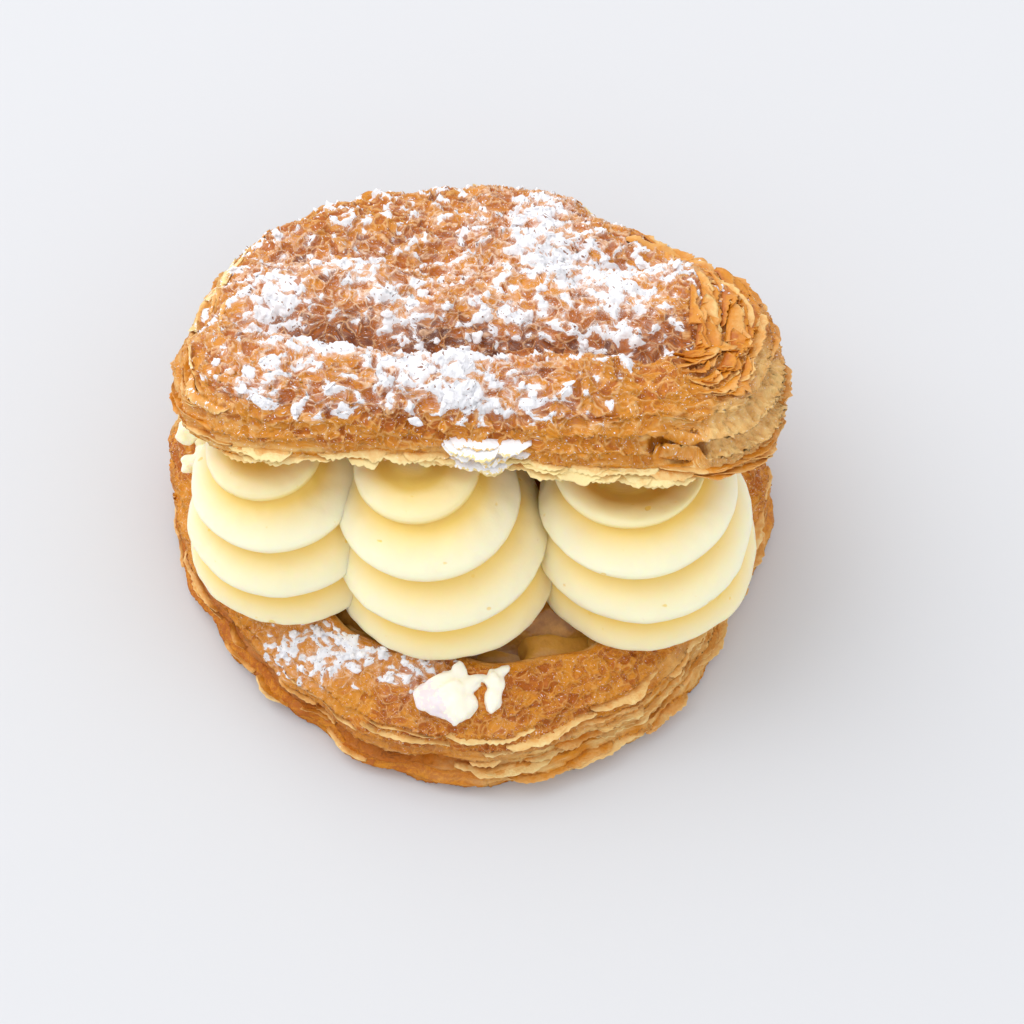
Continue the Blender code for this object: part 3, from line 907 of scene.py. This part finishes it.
class TURNOVER_OT_lower_crust(bpy.types.Operator):
    """The base: a sealed edge layer, a domed crust over it and the hollow for the apple"""

    bl_idname = "turnover.lower_crust"
    bl_label = "Lower crust"

    def execute(self, context):
        around = np.arange(BASE_STEPS) * TAU / BASE_STEPS
        section = base_section(around)
        shares = base_rows(section)
        rings = [base_relief(around, *through(section, share)) for share in shares]
        points = np.concatenate(rings + [[(0, 0, 0), (0, 0, FLOOR_THICKNESS)]])
        faces = closed_faces(len(shares), BASE_STEPS)
        angle = np.append(np.tile(around, len(shares)), (0, 0))
        angle = (angle + math.pi) % TAU - math.pi
        share = np.append(np.repeat(shares, BASE_STEPS), (0, len(section) - 1))
        masks = base_masks(points, angle, share)
        x, y, z = points.T
        fields = dict(masks)
        fields["place"] = food_place(points * 1.25, 1.5, 0.9, 61)
        fields["strata"] = np.stack((x * 0.12, y * 0.12, z * 1.1 + 0.8 * crag(x, y, 0, 18, 42)), -1)
        finish = crust_finish("lower_crust_finish")
        made = new_piece("lower_crust", points, faces, finish, "crust", ("lower_pastry",), fields)
        roughen(made, points, masks)
        return {"FINISHED"}


# Loose flakes and sugar lumps


def flake_finish():
    """Thin crisp flakes from pale to golden, dusted here and there with sugar."""
    pastry = look("pastry")
    made, nodes, shader = new_finish("flake_finish")
    place = nodes.field("place", "Vector")
    mottled = nodes.vary(nodes.field("tone"), nodes.noise(place, 0.7, 3.0, 0.6), 1.6)
    skin = nodes.mix(nodes.span(mottled, -0.5, 0.1), tuple(pastry.flake), tuple(pastry.layer))
    skin = nodes.mix(nodes.span(mottled, 0.1, 0.55), skin, tuple(pastry.rim))
    skin = nodes.mix(nodes.span(mottled, 0.5, 1.2), skin, tuple(pastry.gold))
    skin = nodes.mix(nodes.span(mottled, 1.2, 2.1), skin, tuple(pastry.amber))
    heap = nodes.vary(nodes.field("sugar"), nodes.noise(place, 1.3, 3.0, 0.6), 2.2)
    cover = nodes.span(heap, SUGAR_STARTS, SUGAR_COVERS)
    nodes.feed(shader.inputs["Base Color"], nodes.mix(cover, skin, tuple(look("sugar").white)))
    shader.inputs["Roughness"].default_value = 0.4
    nodes.bump(shader, nodes.noise(place, 1.6, 3.0, 0.6), 0.6, 0.0004)
    return made


def torn_edge(root, reach, seed):
    """How far a flake reaches along its torn edge, as a share: broad bites and fine teeth."""
    x, y, z = root.T
    along = np.append(0, np.cumsum(np.linalg.norm(np.diff(root, axis=0), axis=1)))
    teeth = np.abs((along / TOOTH_LENGTH + 0.8 * crag(x, y, z, 3, seed + 4)) % 1 - 0.5) - 0.25
    bites = 0.7 + 0.45 * crag(x, y, z, 5.5, seed) + 0.12 * crag(x, y, z, 1.8, seed + 1)
    return np.clip(bites + teeth / max(reach, 1.0), 0.08, 1.3)


def flake(root, out, down, reach, seed, curl=0.0):
    """A jagged flake that stands out from a line of root points.

    Gives its points, its faces and how far out each point lies, from 0 to 1."""
    count = len(root)
    along = np.linspace(0, 1, count)
    x, y, z = root.T
    reaches = reach * torn_edge(root, reach, seed) * (1 - np.abs(2 * along - 1) ** 5)
    wave = 0.5 * crag(x, y, z, 4, seed + 2)
    share = np.array((-1.0, 0.0, 0.35, 0.7, 0.9, 1.0))
    inset = np.where(share < 0, 1.0, 0.0)
    steps = share[None, :].clip(0) * reaches[:, None] - inset[None, :]
    lift = (curl * steps.clip(0) ** 2 / max(reach, 0.5)) + wave[:, None] * share.clip(0)[None, :]
    top = root[:, None] + steps[..., None] * out[:, None] - lift[..., None] * down
    return (*plate(top, FLAKE_THICKNESS, down), np.tile(share.clip(0), 2 * count))


def lid_side_flakes(dice):
    """Flakes round the side of the lid, most and longest at its right end."""
    groups = (  # middle angle and spread in degrees, count, heights, reach, curl
        (10, 26, 36, (0.12, 0.97), 2.3, 0.0),
        (-20, 12, 10, (0.86, 0.98), 2.6, 0.1),
        (-30, 16, 12, (0.0, 0.14), 2.4, 0.1),
        (180, 36, 30, (0.05, 0.8), 1.0, 0.0),
        (92, 58, 40, (0.05, 0.7), 0.9, 0.0),
    )
    scale = look("pastry").flake_reach / MM / USUAL_FLAKE_REACH
    made = []
    for middle, spread, count, heights, reach, curl in groups:
        for number in range(count):
            centre = math.radians(middle + spread * dice.uniform(-1, 1))
            half = math.radians(dice.uniform(3.0, 9.5))
            around = np.arange(centre - half, centre + half, math.radians(0.62))
            height = dice.uniform(*heights)
            blunt = lid_blunt(lid_reach(around) * np.cos(around))
            heights_along = np.clip(height + 0.05 * np.sin(around * 9 + number), 0.02, 0.98)
            q = (1 - heights_along**2) ** (1 / blunt)
            root = lid_top(around, np.minimum(q, 0.9999))
            out = np.stack((np.cos(around), np.sin(around), 0 * around + 0.25 * height), -1)
            length = scale * reach * dice.uniform(0.35, 1.0)
            points, faces, share = flake(root, out, np.array((0, 0, -1.0)), length, 70 + number, curl)
            tone = dice.uniform(0.3, 1.3) - 0.5 * share
            made.append((lid_to_food(points), faces, tone, 0.05 + 0 * share))
    return made


def peel(around, q, reach, lift, seed):
    """A thin ragged sheet that lies on the lid's upper side and lifts off it outwards.

    Gives what flake gives."""
    share = np.array((0.0, 0.3, 0.6, 0.85, 1.0))
    root = lid_top(around, q)
    x, y, z = root.T
    ends = 1 - np.abs(np.linspace(-1, 1, len(around))) ** 5
    steps = reach / lid_reach(around) * torn_edge(root, reach, seed) * ends
    furthest = SHEETS_END[lift >= SHEETS_HIGH_FROM]
    top = lid_top(around[:, None], np.minimum(q + steps[:, None] * share, furthest))
    up = lift * (0.2 + share**1.6) * (0.7 + 0.5 * crag(x, y, z, 4, seed + 2))[:, None]
    out = np.stack((0.5 * np.cos(around), 0.5 * np.sin(around), 0.87 + 0 * around), -1)
    sheet = plate(top + up[..., None] * out[:, None], SHEET_THICKNESS, np.array((0, 0, -1.0)))
    return (*sheet, np.tile(share, 2 * len(around)))


def front_flakes(dice):
    """Ragged pale flakes that hang from the lid's front edge, one of them long and white with sugar."""
    made = []
    for number in range(FRONT_FLAKES):
        white = number < SUGARED_FLAKES
        centre = SUGARED_FLAKE_U + dice.uniform(-4.0, 4.0) if white else dice.uniform(-46, 46)
        half = dice.uniform(4.5, 7.5) if white else dice.uniform(2.5, 7.0)
        u = np.linspace(centre - half, centre + half, max(6, round(half * 4.4)))
        around = np.arctan2(LID_CUT_V - LID_MIDDLE_V, u)
        height = dice.uniform(0.02, 0.34) if white else dice.uniform(0.0, 0.12)
        q = (1 - height**2) ** (1 / lid_blunt(u))
        root = lid_top(around, q)
        out = np.stack((0.15 * np.cos(around), -1 + 0 * u, -0.12 - 0.25 * dice.random() + 0 * u), -1)
        reach = dice.uniform(2.6, 4.8) if white else dice.uniform(0.9, 2.6)
        down = np.array((0, 0.45, -0.9))
        points, faces, share = flake(root, out, down, reach, 240 + number, -0.3)
        sugar = 1.3 - 0.8 * share**2 if white else 0.12 + 0 * share
        made.append((lid_to_food(points), faces, dice.uniform(-0.4, 0.5) - 0.4 * share, sugar))
    return made


def lid_sheets(dice):
    """Golden sheets that peel off the top of the lid, most at its right end."""
    made = []
    groups = (  # middle angle and spread in degrees, count, where they start, reach, lift, brown, sugar
        (-16, 13, 9, (0.66, 0.82), 5.6, 1.0, 1.1, 0.1),
        (-18, 18, 22, (0.70, 0.90), 3.6, 0.8, 1.1, 0.1),
        (12, 22, 7, (0.86, 0.97), 2.2, 0.5, 1.2, 0.1),
        (188, 26, 10, (0.84, 0.97), 1.9, 0.4, 0.2, 0.4),
        (90, 40, 14, (0.86, 0.97), 2.4, 0.5, 0.3, 0.1),
    )
    for middle, spread, count, starts, reach, lift, brown, sugar in groups:
        for number in range(count):
            centre = math.radians(middle + spread * dice.uniform(-1, 1))
            half = math.radians(dice.uniform(3.0, 9.0))
            around = np.arange(centre - half, centre + half, math.radians(0.45))
            q = dice.uniform(*starts)
            points, faces, share = peel(around, q, reach * dice.uniform(0.5, 1.0), lift, 170 + number)
            tone = brown + dice.uniform(0.0, 1.3) - 1.1 * share
            made.append((lid_to_food(points), faces, tone, sugar + 0 * share))
    return made


def base_side_flakes(dice):
    """Flakes round the side of the base, most at its right front."""
    made = []
    groups = (  # middle angle and spread in degrees, count, reach
        (-45, 42, 46, 2.0),
        (-120, 36, 12, 0.8),
        (60, 80, 30, 0.9),
        (165, 40, 16, 0.8),
    )
    for middle, spread, count, reach in groups:
        for number in range(count):
            centre = math.radians(middle + spread * dice.uniform(-1, 1))
            half = math.radians(dice.uniform(3.0, 10.0))
            around = np.arange(centre - half, centre + half, math.radians(0.62))
            section = base_section(around)
            inset, z = through(section, dice.uniform(2.5, 8.6))
            root = base_relief(around, inset, z)
            out = np.stack((np.cos(around), np.sin(around), 0 * around), -1)
            length = reach * dice.uniform(0.35, 1.0)
            points, faces, share = flake(root, out, np.array((0, 0, -1.0)), length, 130 + number)
            points[:, 2] = np.maximum(points[:, 2], 0.2)
            made.append((points, faces, dice.uniform(0.1, 0.9) - 0.4 * share, 0.05 + 0 * share))
    return made


class TURNOVER_OT_flakes(bpy.types.Operator):
    """Crisp loose flakes at the sides of both crusts"""

    bl_idname = "turnover.flakes"
    bl_label = "Flakes"

    def execute(self, context):
        dice = random.Random(5)
        finish = flake_finish()
        makers = {
            "lid_flakes": lid_side_flakes,
            "lid_sheets": lid_sheets,
            "front_flakes": front_flakes,
            "base_flakes": base_side_flakes,
        }
        for name, makes in makers.items():
            parts = []
            for points, faces, tone, sugar in makes(dice):
                parts.append((points, faces, {"tone": tone, "sugar": sugar, "place": points}))
            points, faces, fields = joined(parts)
            new_piece(name, points, faces, finish, "crust", (), fields)
        return {"FINISHED"}


def facing(normal):
    """The turn that brings the upward direction to a normal."""
    return np.array(Vector(normal).to_track_quat("Z", "Y").to_matrix())


def lump_mesh(middle, size, turn, seed, rounds=2):
    """A small uneven lump: its points and faces."""
    points, faces = ball(rounds)
    x, y, z = (points + seed * 3.1).T
    points = points * (1 + 0.45 * crag(x, y, z, 0.9, seed))[:, None] * np.asarray(size)
    return points @ turn.T + middle, faces


def sugar_lump_finish():
    """Clumped icing sugar."""
    made, nodes, shader = new_finish("sugar_lump_finish")
    place = nodes.field("place", "Vector")
    grain = nodes.noise(place, 3.0, 3.0, 0.6)
    shade = nodes.mix(nodes.span(grain, 0.3, 0.6), (0.80, 0.78, 0.80), tuple(look("sugar").white))
    nodes.feed(shader.inputs["Base Color"], shade)
    shader.inputs["Roughness"].default_value = 0.95
    nodes.bump(shader, grain, 0.5, 0.0003)
    return made


class TURNOVER_OT_sugar_lumps(bpy.types.Operator):
    """Loose lumps of icing sugar on both crusts"""

    bl_idname = "turnover.sugar_lumps"
    bl_label = "Sugar lumps"

    def execute(self, context):
        dice = random.Random(9)
        parts = []
        crusts = (("upper_crust", look("sugar").lumps, 0.9), ("lower_crust", BASE_LUMPS, 0.55))
        for name, count, spread in crusts:
            piece = bpy.data.objects.get(name)
            if piece is None:
                raise RuntimeError("the crusts come before the sugar lumps")
            data = piece.data
            sugar = np.zeros(len(data.vertices))
            data.attributes["sugar"].data.foreach_get("value", sugar)
            heap = sugar_heap(sugar, read_textures(piece, SUGAR_NOISE))
            points, normals = points_of(data), normals_of(data)
            chances = np.clip(heap - SUGAR_LUMPS_FROM, 0, 0.6) ** 1.5 * (normals[:, 2] > 0.2)
            chosen = dice.choices(range(len(points)), weights=chances.tolist(), k=count)
            for k in chosen:
                size = 0.25 + spread * dice.random() ** 1.8
                middle = points[k] + normals[k] * (0.05 * size)
                flat = np.array((1.0, dice.uniform(0.7, 1.0), 0.42)) * size
                rounds = 2 if size < 0.5 else 3
                made, faces = lump_mesh(middle, flat, facing(normals[k]), 200 + len(parts) % 37, rounds)
                parts.append((made, faces, {"place": made}))
        points, faces, fields = joined(parts)
        new_piece("sugar_lumps", points, faces, sugar_lump_finish(), "crust", (), fields)
        return {"FINISHED"}


# Cream


def cream_finish():
    """Soft yellow cream with a few pores, and painted shade: deeper yellow in the creases, in the pores, on
    the top turns under the lid and on the lowest turn.
    """
    cream = look("cream")
    made, nodes, shader = new_finish("cream_finish")
    place = nodes.field("place", "Vector")
    pores = nodes.span(nodes.noise(place, 0.50, 0.0, 0.4), 0.80, 0.86)
    # painted shade: the creases and the pores take the deeper crease_shade yellow
    deep = nodes.math("ADD", nodes.field("crease_shade"), nodes.math("MULTIPLY", pores, 0.6))
    # painted highlight: the pale body colour shows on the lips' fullest parts
    nodes.feed(shader.inputs["Base Color"], nodes.mix(deep, tuple(cream.body), tuple(cream.crease_shade)))
    shader.inputs["Roughness"].default_value = 0.38
    see_into(shader, 0.6, CREAM_SPREAD, cream.softness)
    pitted = nodes.math("MULTIPLY", pores, -0.5)
    soft = nodes.math("MULTIPLY_ADD", nodes.noise(place, 0.5, 3.0, 0.5), 0.6, pitted)
    nodes.bump(shader, soft, 0.25, 0.0005)
    return made


def lip(b):
    """The rope's side from crease to crease: 0 in the creases and 1 where it is fullest, low down."""
    return smooth(0.0, 0.2, b) * (1 - smooth(0.2, 1.02, b) ** 0.95)


def rosette_points(rosette, turn, b):
    """Points of a rosette: turn counts rings of rope from the bottom, b runs up across one."""
    radius, height, turns, lean_x, lean_y, narrowing, bowl = rosette[3:]
    risen = (turn + b) / turns
    climb = 90 * np.sign(risen) * np.abs(risen) ** CLIMB_POWER
    up, out = np.sin(np.radians(climb)), np.maximum(np.cos(np.radians(climb)), 0.0) ** narrowing
    inset = LIP_DEPTH * (1 - 0.3 * np.maximum(up, 0.0)) * (1 - lip(b))
    droop = LIP_OVERHANG * smooth(0, 0.08, b) * (1 - smooth(0.1, 0.6, b))
    r = np.maximum((radius - inset) * out + droop * up, 0.9)
    z = (height - inset) * up - droop * out - bowl * smooth(*BOWL_CLIMB, climb)
    angle = TAU * turn - math.radians(90)
    x = lean_x * up * up + r * np.cos(angle)
    y = lean_y * up * up + r * np.sin(angle)
    return np.stack((x + rosette[1], y + rosette[2], z + CREAM_BOTTOM), -1)


def rosette_parts(rosette):
    """A rosette's points, faces and how much painted shade each point takes: most in the creases, more on
    the top turns under the lid and on the lowest turn.
    """
    steps, rows = ROSETTE_STEPS, ROSETTE_ROWS
    count = round(steps * (rosette[5] + 1.2))
    turn = (np.arange(count + 1) / steps - 2)[:, None]
    b = (np.arange(rows) / rows)[None, :] ** 1.15
    turn, b = np.broadcast_arrays(turn, b)
    grid = rosette_points(rosette, turn, b)
    x, y, z = grid.transpose(2, 0, 1)
    soft = 0.35 * crag(x, y, z, 9, 51) + 0.12 * crag(x, y, z, 2.5, 52)
    outward = grid - np.array((rosette[1], rosette[2], CREAM_BOTTOM))
    outward = outward / np.maximum(np.linalg.norm(outward, axis=-1, keepdims=True), 1.0)
    grid = grid + outward * soft[..., None]
    climb = 90 * np.clip((turn + b) / rosette[5], 0, 1) ** CLIMB_POWER
    # painted shade: deeper in the creases, on the top turns in the lid's shade and on the lowest turn in the
    # shade of the turn above
    crease_shade = 1 - lip(b) + 0.45 * smooth(50, 68, climb) + 0.22 * (1 - smooth(8, 24, climb))
    crease_shade = np.minimum(crease_shade, 1.0)
    index = np.arange((count + 1) * rows).reshape(count + 1, rows)
    faces = []
    for i in range(count):
        for j in range(rows):
            if j < rows - 1:
                corners = (index[i, j], index[i + 1, j], index[i + 1, j + 1], index[i, j + 1])
            elif i + 1 + steps <= count:
                corners = (index[i, j], index[i + 1, j], index[i + 1 + steps, 0], index[i + steps, 0])
            else:
                continue
            faces.append([int(corner) for corner in corners])
    return grid.reshape(-1, 3), faces, crease_shade.ravel()


class TURNOVER_OT_cream_rosettes(bpy.types.Operator):
    """Three tall rosettes of piped cream in front and three low ones behind them"""

    bl_idname = "turnover.cream_rosettes"
    bl_label = "Cream rosettes"

    def execute(self, context):
        finish = cream_finish()
        for rosette in ROSETTES:
            points, faces, crease_shade = rosette_parts(rosette)
            node = "cream_rosette_" + rosette[0]
            made = new_piece(
                "piped_" + node, points, faces, finish, "cream", (node,), {"crease_shade": crease_shade, "place": points}
            )
            close_rosette(made, rosette)
        return {"FINISHED"}


def fused(piece, grain):
    """Turns overlapping closed shapes into one smooth skin."""
    remesh = piece.modifiers.new("fuse", "REMESH")
    remesh.mode, remesh.voxel_size = "VOXEL", grain * MM
    soften = piece.modifiers.new("soften", "SMOOTH")
    soften.factor, soften.iterations = 0.5, 12
    seen = piece.evaluated_get(bpy.context.evaluated_depsgraph_get())
    made = bpy.data.meshes.new_from_object(seen)
    piece.modifiers.clear()
    old, piece.data = piece.data, made
    bpy.data.meshes.remove(old)
    made.shade_smooth()
    return points_of(made)


def smear_finish():
    """Cream that dropped on the crust, pink and sugary on its left."""
    made, nodes, shader = new_finish("smear_finish")
    place = nodes.field("place", "Vector")
    blotch = nodes.vary(nodes.field("pink"), nodes.noise(place, 0.9, 3.0, 0.6), 2.2)
    body = nodes.mix(nodes.span(blotch, 0.3, 0.7), (0.97, 0.93, 0.78), (0.86, 0.76, 0.77))
    nodes.feed(shader.inputs["Base Color"], body)
    shader.inputs["Roughness"].default_value = 0.4
    see_into(shader, 0.3, CREAM_SPREAD, look("cream").softness)
    return made


class TURNOVER_OT_cream_smears(bpy.types.Operator):
    """Cream that dropped on the front of the base, and wisps at the left"""

    bl_idname = "turnover.cream_smears"
    bl_label = "Cream smears"

    def execute(self, context):
        parts = []
        for number, (middle, sizes, turned) in enumerate(DABS):
            unit, faces = ball(5)
            soft = 1 + 0.14 * crag(*unit.T, 0.7, 5 + number) + 0.04 * crag(*unit.T, 0.3, 15 + number)
            made = unit * np.array(sizes) / 2 * soft[:, None]
            turn = np.array(Euler((math.radians(20), 0, math.radians(turned))).to_matrix())
            parts.append((made @ turn.T + np.array(middle), faces, {}))
        dabs = new_piece("cream_dabs", *joined(parts)[:2], smear_finish(), "cream", ("lower_pastry",))
        points = fused(dabs, DAB_GRAIN)
        x, y = points.T[:2]
        store(dabs.data, "place", points)
        pink = 1.2 * smooth(-4.0, -6.0, x + 0.5 * (y + 48)) - 0.5 + 0.5 * smooth(-46, -43, y)
        store(dabs.data, "pink", pink)
        parts = []
        for middle, size in WISPS:
            unit, faces = ball(4)
            soft = 1 + 0.2 * crag(*unit.T, 0.8, 25 + len(parts))
            parts.append((unit * np.array(size) * soft[:, None] + np.array(middle), faces, {}))
        wisps = new_piece("cream_wisps", *joined(parts)[:2], cream_finish(), "cream", ())
        points = fused(wisps, WISP_GRAIN)
        store(wisps.data, "place", points)
        # the wisps take no painted shade
        store(wisps.data, "crease_shade", np.zeros(len(points)))
        return {"FINISHED"}


def close_rosette(piece, rosette):
    """Closes the top to its tip, and cuts the foot off flat on what the cream lies on."""
    bm = bmesh.new()
    bm.from_mesh(piece.data)
    x, y, height, lean_x, lean_y = *rosette[1:3], rosette[4] - rosette[9], *rosette[6:8]
    tip = bm.verts.new(Vector((x + lean_x, y + lean_y, CREAM_BOTTOM + height)) * MM)
    for edge in [edge for edge in bm.edges if edge.is_boundary]:
        if edge.verts[0].co.z > CREAM_BOTTOM * MM:
            bm.faces.new((*edge.verts, tip))
    everything = bm.verts[:] + bm.edges[:] + bm.faces[:]
    foot = Vector((0, 0, CREAM_FOOT)) * MM
    bmesh.ops.bisect_plane(bm, geom=everything, plane_co=foot, plane_no=(0, 0, -1), clear_outer=True)
    bmesh.ops.holes_fill(bm, edges=[edge for edge in bm.edges if edge.is_boundary], sides=0)
    bmesh.ops.recalc_face_normals(bm, faces=bm.faces)
    bm.to_mesh(piece.data)
    bm.free()
    piece.data.shade_smooth()


# Apple


def apple_finish():
    """Stewed apple: translucent brown flesh in a dark sauce."""
    apple = look("apple")
    made, nodes, shader = new_finish("apple_finish")
    place = nodes.field("place", "Vector")
    flesh = nodes.math("MULTIPLY_ADD", nodes.field("flesh"), 0.55, 0.35)
    mottled = nodes.vary(flesh, nodes.noise(place, 0.35, 3.0, 0.6), 1.5)
    shade = nodes.mix(nodes.span(mottled, 0.1, 0.9), tuple(apple.sauce), tuple(apple.flesh))
    nodes.feed(shader.inputs["Base Color"], shade)
    shader.inputs["Roughness"].default_value = 0.25
    see_into(shader, 0.3, APPLE_SPREAD, 0.002)
    nodes.bump(shader, nodes.noise(place, 1.2, 3.0, 0.5), 0.3, 0.0005)
    return made


def filling_points(angle, q):
    """Points of the bed of apple, q of the way from its middle to its edge."""
    reach = base_rim(angle) - base_section(angle)[-2][0] - FILLING_CLEARANCE
    x, y = q * reach * np.cos(angle), q * reach * np.sin(angle)
    lump = 0.8 * crag(x, y, 0, 10, 11)
    height = FILLING_TOP - 0.8 + 0.4 * lump - (6.0 - lump) * smooth(30, 38, -y)
    floor = FLOOR_THICKNESS + 0.4
    return np.stack((x, y, floor + (height - floor) * (1 - q**14) ** 0.5), -1)


def chunk_mesh(middle, size, turned, seed):
    """A cut piece of stewed apple, its edges cooked round."""
    unit, faces = ball(4)
    blocky = unit / np.linalg.norm(unit, ord=4, axis=1, keepdims=True)
    made = blocky * np.array(size) * (1 + 0.12 * crag(*(unit + seed).T, 0.8, seed))[:, None]
    turn = np.array(Euler((0.15, 0.1, math.radians(turned))).to_matrix())
    return made @ turn.T + middle, faces


class TURNOVER_OT_apple_filling(bpy.types.Operator):
    """The bed of stewed apple in the base"""

    bl_idname = "turnover.apple_filling"
    bl_label = "Apple filling"

    def execute(self, context):
        steps = APPLE_STEPS
        around = np.arange(steps) * TAU / steps
        floor = FLOOR_THICKNESS + 0.4
        shares = [0.97 - 0.96 * (k / APPLE_ROWS) ** 1.2 for k in range(APPLE_ROWS)]
        under = filling_points(around, 0.9 + 0 * around)
        under[:, 2] = floor
        rings = [under] + [filling_points(around, share + 0 * around) for share in shares]
        points = np.concatenate(rings + [[(0, 0, floor)], filling_points(np.zeros(1), np.zeros(1))])
        x, y = points.T[:2]
        points[steps:-2, 2] += (0.7 * crag(x, y, 0, 4.5, 12))[steps:-2]
        faces = closed_faces(len(rings), steps)
        finish = apple_finish()
        fields = {"place": points, "flesh": np.zeros(len(points))}
        new_piece("apple_bed", points, faces, finish, "apple", ("apple_filling",), fields)
        parts = []
        for number, (middle, size, turned) in enumerate(CHUNKS):
            made, chunk_faces = chunk_mesh(np.array(middle), size, turned, 90 + number)
            parts.append((made, chunk_faces, {"place": made, "flesh": np.ones(len(made))}))
        points, faces, fields = joined(parts)
        new_piece("apple_chunks", points, faces, finish, "apple", (), fields)
        return {"FINISHED"}


# Stage

FLOOR_HALF = 3.0
KEY_PLACE = (-1.36, 0.92, 1.87)
AIM = (8.2, 2.3, 0.0)
CAMERA_CLIMB = math.radians(60)


class TURNOVER_OT_stage(bpy.types.Operator):
    """A plain pale floor, soft light and the camera"""

    bl_idname = "turnover.stage"
    bl_label = "Stage"

    def execute(self, context):
        stage = look("stage")
        scene = context.scene
        data = bpy.data.meshes.new("floor")
        corners = [(x * FLOOR_HALF, y * FLOOR_HALF, 0) for x, y in ((-1, -1), (1, -1), (1, 1), (-1, 1))]
        data.from_pydata(corners, [], [(0, 1, 2, 3)])
        made, _, shader = new_finish("floor_finish")
        shader.inputs["Base Color"].default_value = (*stage.floor, 1.0)
        shader.inputs["Roughness"].default_value = 0.9
        shader.inputs["Specular IOR Level"].default_value = 0.1
        data.materials.append(made)
        floor = bpy.data.objects.new("floor", data)
        scene.collection.objects.link(floor)
        world = bpy.data.worlds.new("even_light")
        world.use_nodes = True
        background = world.node_tree.nodes["Background"]
        background.inputs["Color"].default_value = (0.98, 0.985, 1.0, 1.0)
        background.inputs["Strength"].default_value = stage.sky
        scene.world = world
        light = bpy.data.lights.new("key", "AREA")
        light.energy, light.size, light.color = stage.key, 2.6, (1.0, 0.99, 0.975)
        key = bpy.data.objects.new("key", light)
        key.location = KEY_PLACE
        key.rotation_euler = (-key.location).to_track_quat("-Z", "Y").to_euler()
        scene.collection.objects.link(key)
        lens = bpy.data.cameras.new("camera")
        lens.lens, lens.sensor_width = stage.lens, 36.0
        lens.clip_start, lens.clip_end = 0.01, 10.0
        camera = bpy.data.objects.new("camera", lens)
        aim = Vector(AIM) * MM
        back = Vector((0, -math.cos(CAMERA_CLIMB), math.sin(CAMERA_CLIMB)))
        camera.location = aim + back * stage.distance
        camera.rotation_euler = back.to_track_quat("Z", "Y").to_euler()
        scene.collection.objects.link(camera)
        scene.camera = camera
        scene.view_settings.view_transform = "Standard"
        return {"FINISHED"}


class TURNOVER_PT_panel(bpy.types.Panel):
    """Lists the turnover's pieces and looks"""

    bl_idname = "TURNOVER_PT_panel"
    bl_label = "Apple turnover"
    bl_space_type = "VIEW_3D"
    bl_region_type = "UI"
    bl_category = "Turnover"

    def draw(self, context):
        for operator in OPERATORS:
            self.layout.operator(operator.bl_idname)
        for kind, group in LOOKS.items():
            box = self.layout.box()
            box.label(text=kind.capitalize())
            for name in group.__annotations__:
                box.prop(look(kind), name)


OPERATORS = (
    TURNOVER_OT_stage,
    TURNOVER_OT_lower_crust,
    TURNOVER_OT_upper_crust,
    TURNOVER_OT_flakes,
    TURNOVER_OT_sugar_lumps,
    TURNOVER_OT_apple_filling,
    TURNOVER_OT_cream_rosettes,
    TURNOVER_OT_cream_smears,
)
CLASSES = (*LOOKS.values(), *OPERATORS, TURNOVER_PT_panel)


def register():
    for made in CLASSES:
        bpy.utils.register_class(made)
    for kind, group in LOOKS.items():
        setattr(bpy.types.Scene, "turnover_" + kind, PointerProperty(type=group))


def unregister():
    for kind in LOOKS:
        delattr(bpy.types.Scene, "turnover_" + kind)
    for made in reversed(CLASSES):
        bpy.utils.unregister_class(made)


def main():
    """Builds every piece and the stage."""
    register()
    for operator in OPERATORS:
        group, name = operator.bl_idname.split(".")
        getattr(getattr(bpy.ops, group), name)()


if __name__ == "__main__":
    main()
